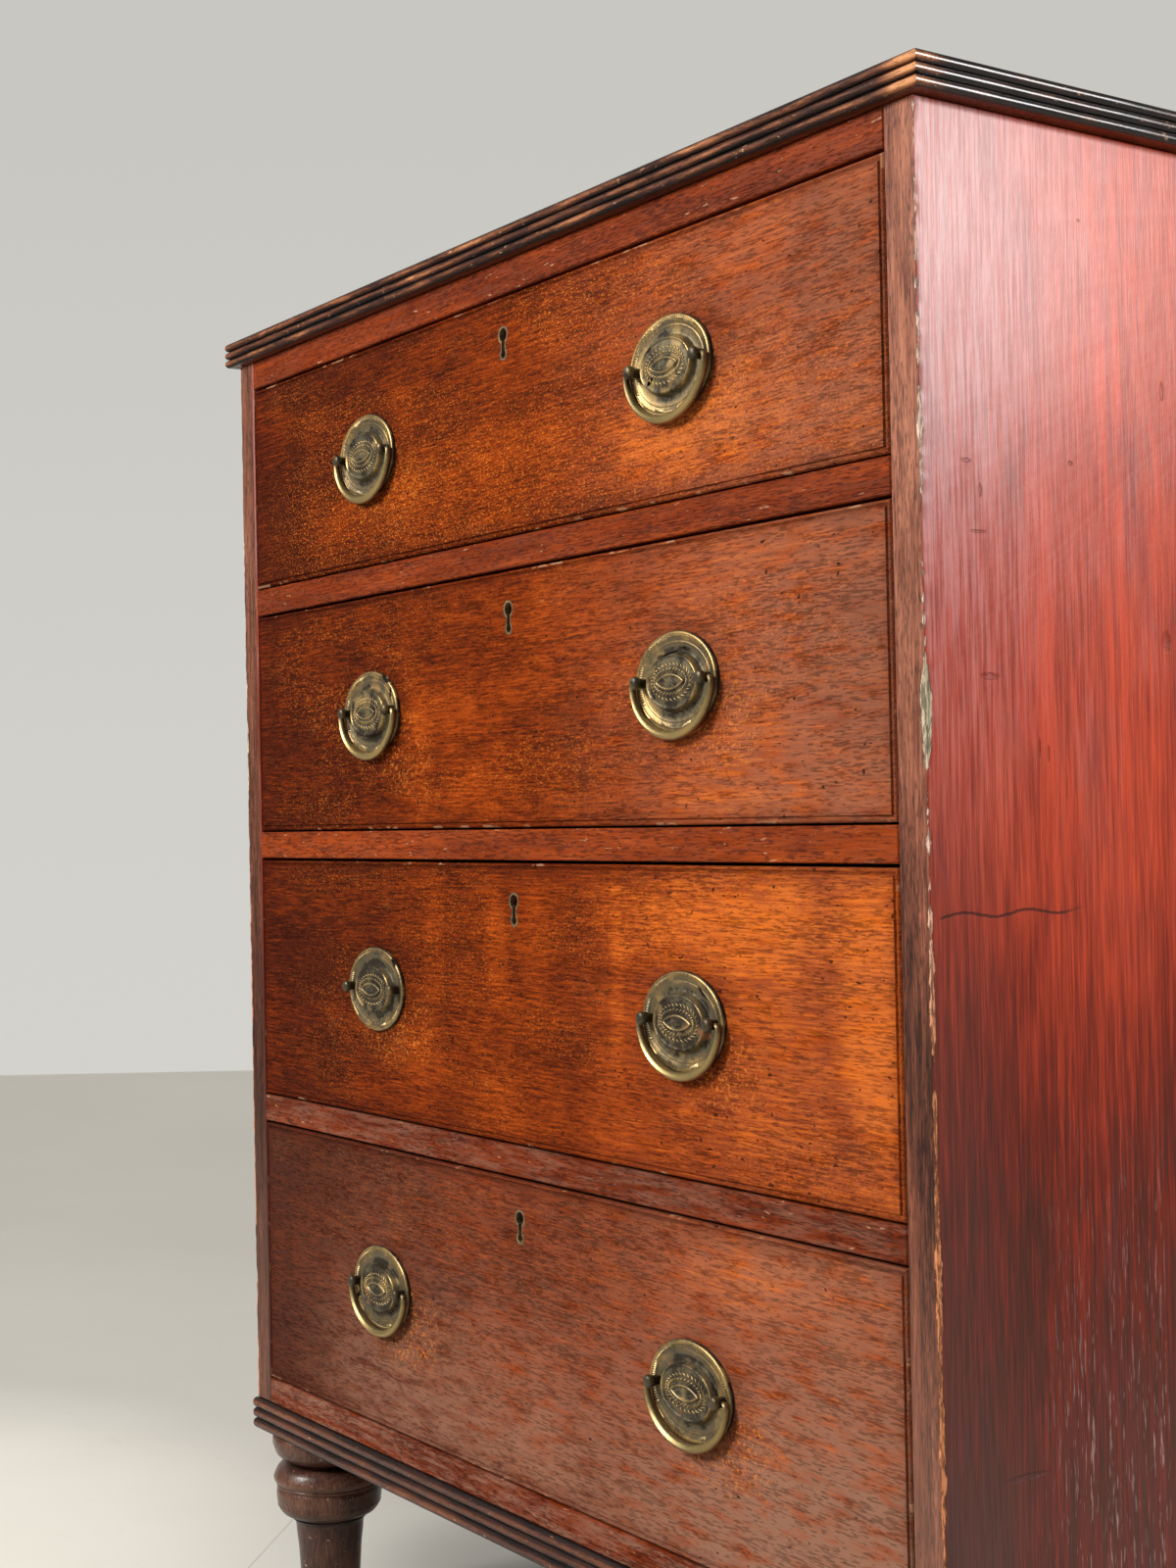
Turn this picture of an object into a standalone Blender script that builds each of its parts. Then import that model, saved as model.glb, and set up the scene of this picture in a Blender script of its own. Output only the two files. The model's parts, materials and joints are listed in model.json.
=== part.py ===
"""Campaign chest.

Four graduated drawers slide in a mahogany carcase with a reeded top, on a
reeded base with turned feet. Each drawer has two stamped oval plates with
swing bails, apart from the third, whose left plate has lost its bail.

Units are metres. +Z is up, the drawers face -Y, and the origin lies on the
floor below the middle of the chest's box.
"""

import math

import bmesh
import bpy
from mathutils import Matrix, Vector

# Carcase
CARCASE_WIDTH = 0.884
CARCASE_DEPTH = 0.457
SIDE_THICKNESS = 0.0254
TOP_THICKNESS = 0.0217
TOP_OVERHANG_SIDE = 0.0125
TOP_OVERHANG_FRONT = 0.009
TOP_RAIL_HEIGHT = 0.0245
RAIL_HEIGHT = 0.0227
BOTTOM_RAIL_HEIGHT = 0.0218
RAIL_DEPTH = 0.062
DUST_BOARD_THICKNESS = 0.0125
BACK_THICKNESS = 0.013
BACK_REBATE = 0.011
BACK_FRAME_WIDTH = 0.07
BACK_PANEL_RECESS = 0.005
BACK_PANELS = 3
EDGE_ROUND = 0.0009

# Drawer stops glued on the boards that the drawers run on
STOP_WIDTH = 0.045
STOP_DEPTH = 0.014
STOP_HEIGHT = 0.0055
STOP_INSET = 0.11

# Reeds on the edge of the top and on the base
REED_COUNT = 3
TOP_REED_DEPTH = 0.0032
BASE_REED_DEPTH = 0.003
REED_STEPS = 4

# Base
BASE_HEIGHT = 0.0272
BASE_OVERHANG = 0.0035
BASE_MEMBER_DEPTH = 0.076

# Turned feet
FOOT_HEIGHT = 0.168
FOOT_RADIUS = 0.0494
FOOT_INSET = 0.046
FOOT_STUD_RADIUS = 0.0125
FOOT_STUD_LENGTH = 0.022
FOOT_STEPS = 16

# The foot's outline from the seat down: share of the radius, share of the height
FOOT_OUTLINE_SHARES = (
    (0.96, 0.0),
    (1.0, 0.02),
    (1.0, 0.05),
    (0.955, 0.086),
    (0.84, 0.127),
    (0.705, 0.149),
    (0.83, 0.162),
    (0.95, 0.198),
    (0.992, 0.23),
    (0.95, 0.256),
    (0.92, 0.282),
    (0.95, 0.342),
    (0.9, 0.388),
    (0.83, 0.412),
    (0.66, 0.437),
    (0.61, 0.48),
    (0.565, 0.59),
    (0.535, 0.73),
    (0.44, 1.0),
)

# Drawers, from the top one down
DRAWER_HEIGHTS = (0.1761, 0.1887, 0.2062, 0.2247)
DRAWER_GAP_BEHIND = 0.0187
DRAWER_GAP_ABOVE = 0.0024
DRAWER_GAP_BELOW = 0.0016
DRAWER_GAP_SIDE = 0.0012
FRONT_THICKNESS = 0.0205
LINING_THICKNESS = 0.011
LINING_DROP = 0.003
BOTTOM_THICKNESS = 0.006
BOTTOM_RISE = 0.009
BOTTOM_GROOVE = 0.0055

# Scratch bead round the drawer fronts
BEAD_WIDTH = 0.0032
BEAD_QUIRK = 0.0013
BEAD_DEPTH = 0.0014

# Dovetails
TAIL_PITCH = 0.046
TAIL_SHARE = 0.58
TAIL_SLOPE = 0.16
FRONT_LAP = 0.0055

# Handles
HANDLE_REACH = 0.2069
PLATE_WIDTH = 0.0892
PLATE_HEIGHT = 0.068
BOSS_HEIGHT = 0.0082
POST_SPAN = 0.0716
POST_RISE = 0.001
POST_RADIUS = 0.0032
POST_LENGTH = 0.0125
POST_HEAD_RADIUS = 0.0047
POST_HEAD_LENGTH = 0.0044
POST_STEPS = 8
BAIL_OUT = 0.0061
BAIL_WIDTH = 0.0872
BAIL_DROP = 0.0365
BAIL_PIN_RADIUS = 0.0016
BAIL_PIN_REACH = 0.0024
BAIL_END_RADIUS = 0.0022
BAIL_MIDDLE_RADIUS = 0.0034
BAIL_CORNER = 0.0032
BAIL_POINTS = 11
OVAL_STEPS = 20

# The plate's rings from the drawer to the middle: shares of the plate's half
# width and half height, a share of the boss's height, and how pointed it is
PLATE_RING_SHARES = (
    (1.0, 1.0, 0.0, 0.0),
    (1.0, 1.0, 0.16, 0.0),
    (0.965, 0.955, 0.36, 0.0),
    (0.835, 0.79, 0.21, 0.0),
    (0.665, 0.6, 0.16, 0.0),
    (0.61, 0.528, 0.76, 0.0),
    (0.565, 0.473, 0.7, 0.0),
    (0.5, 0.385, 0.78, 0.0),
    (0.385, 0.2, 0.84, 0.6),
    (0.345, 0.155, 1.0, 1.0),
    (0.285, 0.108, 0.88, 1.0),
)

# Keyholes and locks
KEYHOLE_DROP = 0.0341
KEYHOLE_HEIGHT = 0.0256
KEYHOLE_TOP_RADIUS = 0.0066
KEYHOLE_BOTTOM_RADIUS = 0.0048
KEYHOLE_WAIST = 0.0062
KEYHOLE_WALL = 0.0017
KEYHOLE_DEPTH = 0.0042
KEYHOLE_STEPS = 4
LOCK_WIDTH = 0.064
LOCK_HEIGHT = 0.053
LOCK_THICKNESS = 0.0098
LOCK_KEY_DEPTH = 0.007
SELVAGE_WIDTH = 0.09
SELVAGE_THICKNESS = 0.002

# Running gap between pieces that rest on or in each other, and the overrun of
# the cuts
FIT = 0.0003
OVERRUN = 0.002

# Distances under which points of a mesh are joined
WELD = 0.000001
TURN_WELD = 0.00001

# Places that follow from the sizes
HALF_WIDTH = CARCASE_WIDTH / 2
INNER_HALF = HALF_WIDTH - SIDE_THICKNESS
HANDLE_OUT = max(POST_LENGTH, BAIL_OUT + BAIL_MIDDLE_RADIUS, TOP_OVERHANG_FRONT)
FRONT_Y = -(CARCASE_DEPTH - HANDLE_OUT) / 2
BACK_Y = FRONT_Y + CARCASE_DEPTH
CARCASE_Z = FOOT_HEIGHT + BASE_HEIGHT + FIT
FLOOR_Z = CARCASE_Z + BOTTOM_RAIL_HEIGHT
INNER_BACK_Y = BACK_Y - BACK_THICKNESS - FIT

COLLECTION = "campaign_chest"
CUTTERS = "cutters"

COLOURS = {
    "mahogany_front": ((0.235, 0.062, 0.022, 1.0), 0.42, 0.0),
    "mahogany_rail": ((0.215, 0.062, 0.023, 1.0), 0.45, 0.0),
    "mahogany_side": ((0.135, 0.040, 0.022, 1.0), 0.38, 0.0),
    "mahogany_top": ((0.12, 0.036, 0.018, 1.0), 0.36, 0.0),
    "mahogany_dark": ((0.045, 0.020, 0.013, 1.0), 0.40, 0.0),
    "lining_oak": ((0.36, 0.20, 0.085, 1.0), 0.62, 0.0),
    "back_pine": ((0.30, 0.16, 0.07, 1.0), 0.7, 0.0),
    "brass_plate": ((0.36, 0.29, 0.165, 1.0), 0.42, 0.85),
    "brass_bail": ((0.43, 0.32, 0.14, 1.0), 0.34, 0.9),
    "brass_thread": ((0.52, 0.37, 0.13, 1.0), 0.32, 0.9),
    "iron_lock": ((0.10, 0.09, 0.08, 1.0), 0.5, 0.85),
}


def clear_scene():
    for item in list(bpy.data.objects):
        bpy.data.objects.remove(item, do_unlink=True)


def new_collection(name):
    group = bpy.data.collections.new(name)
    bpy.context.scene.collection.children.link(group)
    return group


def new_materials():
    made = {}
    for name, (colour, roughness, metallic) in COLOURS.items():
        item = bpy.data.materials.new(name)
        item.use_nodes = True
        shader = item.node_tree.nodes["Principled BSDF"]
        shader.inputs["Base Color"].default_value = colour
        shader.inputs["Roughness"].default_value = roughness
        shader.inputs["Metallic"].default_value = metallic
        item.diffuse_color = colour
        made[name] = item
    return made


class Shop:
    """Holds the materials and the collections of parts and of cutters."""

    def __init__(self):
        self.parts = new_collection(COLLECTION)
        self.cutters = new_collection(CUTTERS)
        self.materials = new_materials()

    def add(self, name, mesh, material, parent=None, location=(0.0, 0.0, 0.0)):
        item = bpy.data.objects.new(name, mesh)
        self.parts.objects.link(item)
        if not mesh.materials:
            mesh.materials.append(self.materials[material])
        item.parent = parent
        item.location = location
        return item

    def add_cutter(self, name, mesh, location=(0.0, 0.0, 0.0)):
        item = bpy.data.objects.new(name, mesh)
        self.cutters.objects.link(item)
        item.location = location
        item.hide_render = True
        item.display_type = "WIRE"
        return item


def mesh_from(bm, name):
    bmesh.ops.recalc_face_normals(bm, faces=bm.faces[:])
    mesh = bpy.data.meshes.new(name)
    bm.to_mesh(mesh)
    bm.free()
    return mesh


def box_mesh(name, size):
    bm = bmesh.new()
    bmesh.ops.create_cube(bm, size=1.0)
    bmesh.ops.scale(bm, vec=Vector(size), verts=bm.verts[:])
    return mesh_from(bm, name)


def span(low, high):
    """Size and middle of a box between two corners."""
    low = Vector(low)
    high = Vector(high)
    return high - low, (low + high) / 2


def raised_mesh(name, loops):
    """One closed body: the first loop is filled and extruded through the others."""
    bm = bmesh.new()
    face = bm.faces.new([bm.verts.new(point) for point in loops[0]])
    for loop in loops[1:]:
        result = bmesh.ops.extrude_discrete_faces(bm, faces=[face])
        face = result["faces"][0]
        for vert, point in zip(face.verts, loop):
            vert.co = point
    rim = [edge for edge in bm.edges if edge.is_boundary]
    bmesh.ops.holes_fill(bm, edges=rim, sides=len(loops[0]))
    return mesh_from(bm, name)


def turned_mesh(name, profile, steps):
    """Turns a profile of (radius, height) points, written from top to bottom."""
    bm = bmesh.new()
    verts = [bm.verts.new((radius, 0.0, height)) for radius, height in profile]
    for upper, lower in zip(verts, verts[1:]):
        bm.edges.new((upper, lower))
    mesh = bpy.data.meshes.new(name)
    bm.to_mesh(mesh)
    bm.free()
    item = bpy.data.objects.new(name, mesh)
    bpy.context.scene.collection.objects.link(item)
    screw = item.modifiers.new("turn", "SCREW")
    screw.axis = "Z"
    screw.steps = steps
    screw.render_steps = steps
    screw.use_merge_vertices = True
    screw.merge_threshold = TURN_WELD
    turned = evaluated_mesh(item)
    weld(turned)
    bpy.data.objects.remove(item, do_unlink=True)
    return turned


def evaluated_mesh(item):
    bpy.context.view_layer.update()
    graph = bpy.context.evaluated_depsgraph_get()
    return bpy.data.meshes.new_from_object(item.evaluated_get(graph), depsgraph=graph)


def weld(mesh):
    bm = bmesh.new()
    bm.from_mesh(mesh)
    bmesh.ops.remove_doubles(bm, verts=bm.verts[:], dist=WELD)
    bmesh.ops.recalc_face_normals(bm, faces=bm.faces[:])
    bm.to_mesh(mesh)
    bm.free()


def flat_mesh(name, outlines, thickness):
    """A flat piece from closed outlines in XY, its thickness along Z about zero."""
    curve = bpy.data.curves.new(name, "CURVE")
    curve.dimensions = "2D"
    curve.fill_mode = "BOTH"
    curve.extrude = thickness / 2
    for outline in outlines:
        spline = curve.splines.new("POLY")
        spline.points.add(len(outline) - 1)
        for point, (x, y) in zip(spline.points, outline):
            point.co = (x, y, 0.0, 1.0)
        spline.use_cyclic_u = True
    item = bpy.data.objects.new(name, curve)
    bpy.context.scene.collection.objects.link(item)
    mesh = evaluated_mesh(item)
    weld(mesh)
    bpy.data.objects.remove(item, do_unlink=True)
    return mesh


def cut(item, cutter, operation="DIFFERENCE"):
    step = item.modifiers.new("cut " + cutter.name, "BOOLEAN")
    step.operation = operation
    step.solver = "EXACT"
    step.object = cutter


def round_edges(item, width):
    step = item.modifiers.new("arris", "BEVEL")
    step.width = width
    step.segments = 1
    step.limit_method = "ANGLE"


def smooth(mesh):
    mesh.shade_smooth()
    mesh.set_sharp_from_angle(angle=math.radians(35))


def board(shop, name, low, high, material, parent=None, arris=0.0):
    size, middle = span(low, high)
    item = shop.add(name, box_mesh(name, size), material, parent, middle)
    if arris:
        round_edges(item, arris)
    return item


def cutter_box(shop, name, low, high):
    size, middle = span(low, high)
    return shop.add_cutter(name, box_mesh(name, size), middle)


def reed_profile(height, depth):
    """Points (out, up) of the reeds on an edge, from its foot to its head."""
    pitch = height / REED_COUNT
    points = []
    for index in range(REED_COUNT):
        middle = (index + 0.5) * pitch
        for step in range(REED_STEPS + 1):
            turn = math.pi * (step / REED_STEPS - 0.5)
            if step == 0 and index > 0:
                continue
            points.append((depth * math.cos(turn) - depth, middle + pitch / 2 * math.sin(turn)))
    return points


def turn_yz(mesh):
    """Stands a flat piece up: its X and Y become Y and Z, its thickness lies along X."""
    mesh.transform(Matrix(((0, 0, 1, 0), (1, 0, 0, 0), (0, 1, 0, 0), (0, 0, 0, 1))))
    return mesh


def turn_xz(mesh):
    """Stands a flat piece up to face -Y: its Y becomes Z, its thickness lies along Y."""
    mesh.transform(Matrix.Rotation(math.pi / 2, 4, "X"))
    return mesh


def opening_floors():
    """Height of the floor of each drawer's opening, from the top drawer down."""
    floors = []
    level = FLOOR_Z
    for height in reversed(DRAWER_HEIGHTS):
        floors.insert(0, level)
        level += DRAWER_GAP_BELOW + height + DRAWER_GAP_ABOVE + RAIL_HEIGHT
    return floors


FLOORS = opening_floors()
TOP_RAIL_Z = FLOORS[0] + DRAWER_GAP_BELOW + DRAWER_HEIGHTS[0] + DRAWER_GAP_ABOVE
CARCASE_TOP = TOP_RAIL_Z + TOP_RAIL_HEIGHT
CHEST_TOP = CARCASE_TOP + FIT + TOP_THICKNESS


def make_side(shop, name, hand):
    """A side panel with its front edge showing and a rebate for the back."""
    outer = hand * HALF_WIDTH
    inner = hand * INNER_HALF
    groove = hand * (INNER_HALF + BACK_REBATE)
    rebate_y = BACK_Y - BACK_THICKNESS - FIT
    outline = [
        (outer, FRONT_Y),
        (outer, BACK_Y),
        (groove, BACK_Y),
        (groove, rebate_y),
        (inner, rebate_y),
        (inner, FRONT_Y),
    ]
    loops = [[(x, y, z) for x, y in outline] for z in (CARCASE_Z, CARCASE_TOP)]
    item = shop.add(name, raised_mesh(name, loops), "mahogany_side")
    round_edges(item, EDGE_ROUND)
    return item


def make_top(shop):
    """The top, with reeds along its front and sides and a plain back edge."""
    base = CARCASE_TOP + FIT
    loops = []
    for out, up in reed_profile(TOP_THICKNESS, TOP_REED_DEPTH):
        x = HALF_WIDTH + TOP_OVERHANG_SIDE + out
        y = FRONT_Y - TOP_OVERHANG_FRONT - out
        z = base + up
        loops.append([(-x, y, z), (x, y, z), (x, BACK_Y, z), (-x, BACK_Y, z)])
    mesh = raised_mesh("top", loops)
    smooth(mesh)
    shop.add("top", mesh, "mahogany_top")


def make_back(shop):
    """A framed back whose panels lie below the face of the frame."""
    half = INNER_HALF + BACK_REBATE - FIT
    low = Vector((-half, BACK_Y - BACK_THICKNESS, CARCASE_Z))
    high = Vector((half, BACK_Y, CARCASE_TOP))
    item = board(shop, "back", low, high, "back_pine", arris=EDGE_ROUND)
    field = 2 * half - (BACK_PANELS + 1) * BACK_FRAME_WIDTH
    width = field / BACK_PANELS
    for index in range(BACK_PANELS):
        left = -half + BACK_FRAME_WIDTH + index * (width + BACK_FRAME_WIDTH)
        cutter = cutter_box(
            shop,
            "back panel %d" % (index + 1),
            (left, BACK_Y - BACK_PANEL_RECESS, CARCASE_Z + BACK_FRAME_WIDTH),
            (left + width, BACK_Y + OVERRUN, CARCASE_TOP - BACK_FRAME_WIDTH),
        )
        cut(item, cutter)


def make_top_rail(shop):
    half = INNER_HALF - FIT
    board(
        shop,
        "top_rail",
        (-half, FRONT_Y, TOP_RAIL_Z),
        (half, FRONT_Y + RAIL_DEPTH, CARCASE_TOP),
        "mahogany_rail",
        arris=EDGE_ROUND,
    )


def make_divider(shop, name, top, height):
    """A front rail with the thinner board behind it that the drawer runs on, and its stops."""
    half = INNER_HALF - FIT
    rail_y = FRONT_Y + RAIL_DEPTH
    outline = [
        (FRONT_Y, top - height),
        (rail_y, top - height),
        (rail_y, top - DUST_BOARD_THICKNESS),
        (INNER_BACK_Y, top - DUST_BOARD_THICKNESS),
        (INNER_BACK_Y, top),
        (FRONT_Y, top),
    ]
    loops = [[(x, y, z) for y, z in outline] for x in (-half, half)]
    item = shop.add(name, raised_mesh(name, loops), "mahogany_rail")
    round_edges(item, EDGE_ROUND)
    stop_y = FRONT_Y + FRONT_THICKNESS + FIT
    for label, hand in (("left", -1), ("right", 1)):
        near = hand * (INNER_HALF - STOP_INSET)
        far = near - hand * STOP_WIDTH
        stop = cutter_box(
            shop,
            "%s stop %s" % (name, label),
            (min(near, far), stop_y, top - OVERRUN),
            (max(near, far), stop_y + STOP_DEPTH, top + STOP_HEIGHT),
        )
        cut(item, stop, "UNION")


def front_mitre(section, hand):
    """The mitred end of the front member of the base."""
    return [(hand * (HALF_WIDTH + out - FIT), FRONT_Y - out, FOOT_HEIGHT + up) for out, up in section]


def side_mitre(section, hand):
    """The mitred front end of a side member of the base."""
    return [(hand * (HALF_WIDTH + out), FRONT_Y - out + FIT, FOOT_HEIGHT + up) for out, up in section]


def side_end(section, hand):
    """The square back end of a side member of the base."""
    return [(hand * (HALF_WIDTH + out), BACK_Y, FOOT_HEIGHT + up) for out, up in section]


def base_section():
    """The section of a base member: its plain inner edge, then the reeds."""
    reeds = [(out + BASE_OVERHANG, up) for out, up in reed_profile(BASE_HEIGHT, BASE_REED_DEPTH)]
    inner = -BASE_MEMBER_DEPTH
    return [(inner, BASE_HEIGHT), (inner, 0.0)] + reeds


def make_base(shop):
    """The base: reeded members mitred at the front corners, and a plain one behind."""
    section = base_section()
    loops = [front_mitre(section, hand) for hand in (-1, 1)]
    front = shop.add("base_front", raised_mesh("base_front", loops), "mahogany_dark")
    smooth(front.data)
    members = {"front": front}
    for label, hand in (("left", -1), ("right", 1)):
        loops = [side_mitre(section, hand), side_end(section, hand)]
        name = "base_" + label
        members[label] = shop.add(name, raised_mesh(name, loops), "mahogany_dark")
        smooth(members[label].data)
    half = HALF_WIDTH - BASE_MEMBER_DEPTH - FIT
    board(
        shop,
        "base_back",
        (-half, BACK_Y - BASE_MEMBER_DEPTH, FOOT_HEIGHT),
        (half, BACK_Y, FOOT_HEIGHT + BASE_HEIGHT),
        "mahogany_dark",
        arris=EDGE_ROUND,
    )
    return members


def foot_profile():
    """Stud, seat, ring, bulb and tapering leg, from the top down."""
    seat = FOOT_HEIGHT - FIT
    points = [(0.0, seat + FOOT_STUD_LENGTH), (FOOT_STUD_RADIUS, seat + FOOT_STUD_LENGTH)]
    points.append((FOOT_STUD_RADIUS, seat))
    for radius_share, height_share in FOOT_OUTLINE_SHARES:
        points.append((radius_share * FOOT_RADIUS, seat * (1 - height_share)))
    points.append((0.0, 0.0))
    return points


def make_feet(shop, members):
    mesh = turned_mesh("foot", foot_profile(), FOOT_STEPS)
    smooth(mesh)
    hole_top = FOOT_HEIGHT + FOOT_STUD_LENGTH + FIT
    for depth_label, y in (("front", FRONT_Y + FOOT_INSET), ("back", BACK_Y - FOOT_RADIUS)):
        for label, hand in (("left", -1), ("right", 1)):
            x = hand * (HALF_WIDTH - FOOT_INSET)
            shop.add("foot_%s_%s" % (depth_label, label), mesh, "mahogany_dark", location=(x, y, 0.0))
            hole = turned_mesh(
                "hole",
                [
                    (0.0, hole_top),
                    (FOOT_STUD_RADIUS + FIT, hole_top),
                    (FOOT_STUD_RADIUS + FIT, FOOT_HEIGHT - OVERRUN),
                    (0.0, FOOT_HEIGHT - OVERRUN),
                ],
                FOOT_STEPS,
            )
            cutter = shop.add_cutter("foot hole %s %s" % (depth_label, label), hole, (x, y, 0.0))
            cut(members[label], cutter)
            if depth_label == "front":
                cut(members["front"], cutter)


def tail_places(low, high):
    """Middle and half pitch of each dovetail between two heights."""
    count = max(2, round((high - low) / TAIL_PITCH))
    pitch = (high - low) / count
    return [(low + (index + 0.5) * pitch, pitch / 2) for index in range(count)]


def tail_outline(middle, half_pitch, shoulder, tip, grow=0.0):
    """One dovetail in (y, z), widening from its shoulder to its tip."""
    direction = 1 if tip > shoulder else -1
    length = abs(tip - shoulder)
    root = half_pitch * TAIL_SHARE
    end = root + TAIL_SLOPE * length
    heel = shoulder - direction * grow
    toe = tip + direction * grow
    return [
        (heel, middle - root - grow),
        (toe, middle - end - grow),
        (toe, middle + end + grow),
        (heel, middle + root + grow),
    ]


class Drawer:
    """One drawer's places, worked out from its opening."""

    def __init__(self, number):
        self.number = number
        self.name = "drawer_%d" % number
        self.height = DRAWER_HEIGHTS[number - 1]
        self.floor = FLOORS[number - 1]
        self.front_low = self.floor + DRAWER_GAP_BELOW
        self.front_high = self.front_low + self.height
        self.half = INNER_HALF - DRAWER_GAP_SIDE
        self.back_of_front = FRONT_Y + FRONT_THICKNESS
        self.rear = INNER_BACK_Y - DRAWER_GAP_BEHIND
        self.side_low = self.floor + FIT
        self.side_high = self.front_high - LINING_DROP
        self.bottom_low = self.floor + BOTTOM_RISE
        self.bottom_high = self.bottom_low + BOTTOM_THICKNESS
        self.handle_z = (self.front_low + self.front_high) / 2
        self.key_z = self.front_high - KEYHOLE_DROP
        self.tails = tail_places(self.bottom_high + FIT, self.side_high - FIT)


def drawer_front_loops(drawer):
    """Loops of the front from its back face to its field, round the scratch bead."""
    steps = (
        (0.0, FRONT_THICKNESS),
        (0.0, BEAD_DEPTH),
        (BEAD_WIDTH / 4, BEAD_DEPTH / 4),
        (BEAD_WIDTH / 2, 0.0),
        (BEAD_WIDTH, BEAD_DEPTH),
        (BEAD_WIDTH + BEAD_QUIRK / 2, BEAD_DEPTH),
        (BEAD_WIDTH + BEAD_QUIRK, 0.0),
    )
    loops = []
    for inset, back in steps:
        x = drawer.half - inset
        low = drawer.front_low + inset
        high = drawer.front_high - inset
        y = FRONT_Y + back
        loops.append([(-x, y, low), (x, y, low), (x, y, high), (-x, y, high)])
    return loops


def keyhole_outline(grow):
    """A round-topped keyhole in (x, z) about its middle, grown by the given amount."""
    top_radius = KEYHOLE_TOP_RADIUS + grow
    bottom_radius = KEYHOLE_BOTTOM_RADIUS + grow
    waist = KEYHOLE_WAIST / 2 + grow
    top_z = KEYHOLE_HEIGHT / 2 - KEYHOLE_TOP_RADIUS
    bottom_z = KEYHOLE_BOTTOM_RADIUS - KEYHOLE_HEIGHT / 2
    right = []
    start = -math.acos(min(waist / top_radius, 1.0))
    for step in range(KEYHOLE_STEPS + 1):
        turn = start + (math.pi / 2 - start) * step / KEYHOLE_STEPS
        right.append((top_radius * math.cos(turn), top_z + top_radius * math.sin(turn)))
    lower = []
    stop = math.acos(min(waist / bottom_radius, 1.0))
    for step in range(KEYHOLE_STEPS + 1):
        turn = -math.pi / 2 + (stop + math.pi / 2) * step / KEYHOLE_STEPS
        lower.append((bottom_radius * math.cos(turn), bottom_z + bottom_radius * math.sin(turn)))
    half = lower + right
    return half + [(-x, z) for x, z in reversed(half[1:-1])]


def keyhole_cutter(shop, drawer, label, grow, near, far):
    """A keyhole-shaped cutter between two distances behind the drawer's face."""
    name = "%s %s" % (drawer.name, label)
    mesh = turn_xz(flat_mesh(name, [keyhole_outline(grow)], far - near))
    return shop.add_cutter(name, mesh, (0.0, FRONT_Y + (near + far) / 2, drawer.key_z))


def make_drawer_front(shop, drawer, parent):
    name = drawer.name + "_front"
    item = shop.add(name, raised_mesh(name, drawer_front_loops(drawer)), "mahogany_front", parent)
    for label, hand in (("left", -1), ("right", 1)):
        cut(item, tail_cutter(shop, drawer, hand, "%s socket %s" % (drawer.name, label), True))
    groove = cutter_box(
        shop,
        drawer.name + " front groove",
        (-drawer.half + LINING_THICKNESS / 2, drawer.back_of_front - BOTTOM_GROOVE, drawer.bottom_low - FIT),
        (drawer.half - LINING_THICKNESS / 2, drawer.back_of_front + OVERRUN, drawer.bottom_high + FIT),
    )
    cut(item, groove)
    lock_front = FRONT_THICKNESS - LOCK_THICKNESS
    cut(item, keyhole_cutter(shop, drawer, "escutcheon seat", FIT, -OVERRUN, KEYHOLE_DEPTH + FIT))
    cut(item, keyhole_cutter(shop, drawer, "keyhole", -KEYHOLE_WALL, -OVERRUN, lock_front))
    case_low = drawer.front_high - LOCK_HEIGHT
    case = cutter_box(
        shop,
        drawer.name + " lock seat",
        (-LOCK_WIDTH / 2 - FIT, FRONT_Y + lock_front - FIT, case_low - FIT),
        (LOCK_WIDTH / 2 + FIT, drawer.back_of_front + OVERRUN, drawer.front_high + OVERRUN),
    )
    cut(item, case)
    selvage = cutter_box(
        shop,
        drawer.name + " selvage seat",
        (-SELVAGE_WIDTH / 2 - FIT, FRONT_Y + lock_front - FIT, drawer.front_high - SELVAGE_THICKNESS - FIT),
        (SELVAGE_WIDTH / 2 + FIT, drawer.back_of_front + OVERRUN, drawer.front_high + OVERRUN),
    )
    cut(item, selvage)


def tail_cutter(shop, drawer, hand, name, at_front):
    """The dovetails of one corner as a cutter, a fit larger than the tails."""
    if at_front:
        shoulder = drawer.back_of_front
        tip = FRONT_Y + FRONT_LAP
    else:
        shoulder = drawer.rear - LINING_THICKNESS
        tip = drawer.rear
    outlines = [tail_outline(middle, half, shoulder, tip, FIT) for middle, half in drawer.tails]
    mesh = turn_yz(flat_mesh(name, outlines, LINING_THICKNESS + FIT + OVERRUN))
    x = hand * (drawer.half + (OVERRUN - LINING_THICKNESS - FIT) / 2)
    return shop.add_cutter(name, mesh, (x, 0.0, 0.0))


def side_outline(drawer):
    """A lining in (y, z): lapped dovetails at the front, through ones at the back."""
    front = drawer.back_of_front + FIT
    back = drawer.rear - LINING_THICKNESS - FIT
    points = [(front, drawer.side_low)]
    points.append((drawer.rear, drawer.side_low))
    points.append((drawer.rear, drawer.bottom_high))
    points.append((back, drawer.bottom_high))
    for middle, half in drawer.tails:
        points.extend(tail_outline(middle, half, back, drawer.rear))
    points.append((back, drawer.side_high))
    points.append((front, drawer.side_high))
    for middle, half in reversed(drawer.tails):
        points.extend(reversed(tail_outline(middle, half, front, FRONT_Y + FRONT_LAP)))
    return points


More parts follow.
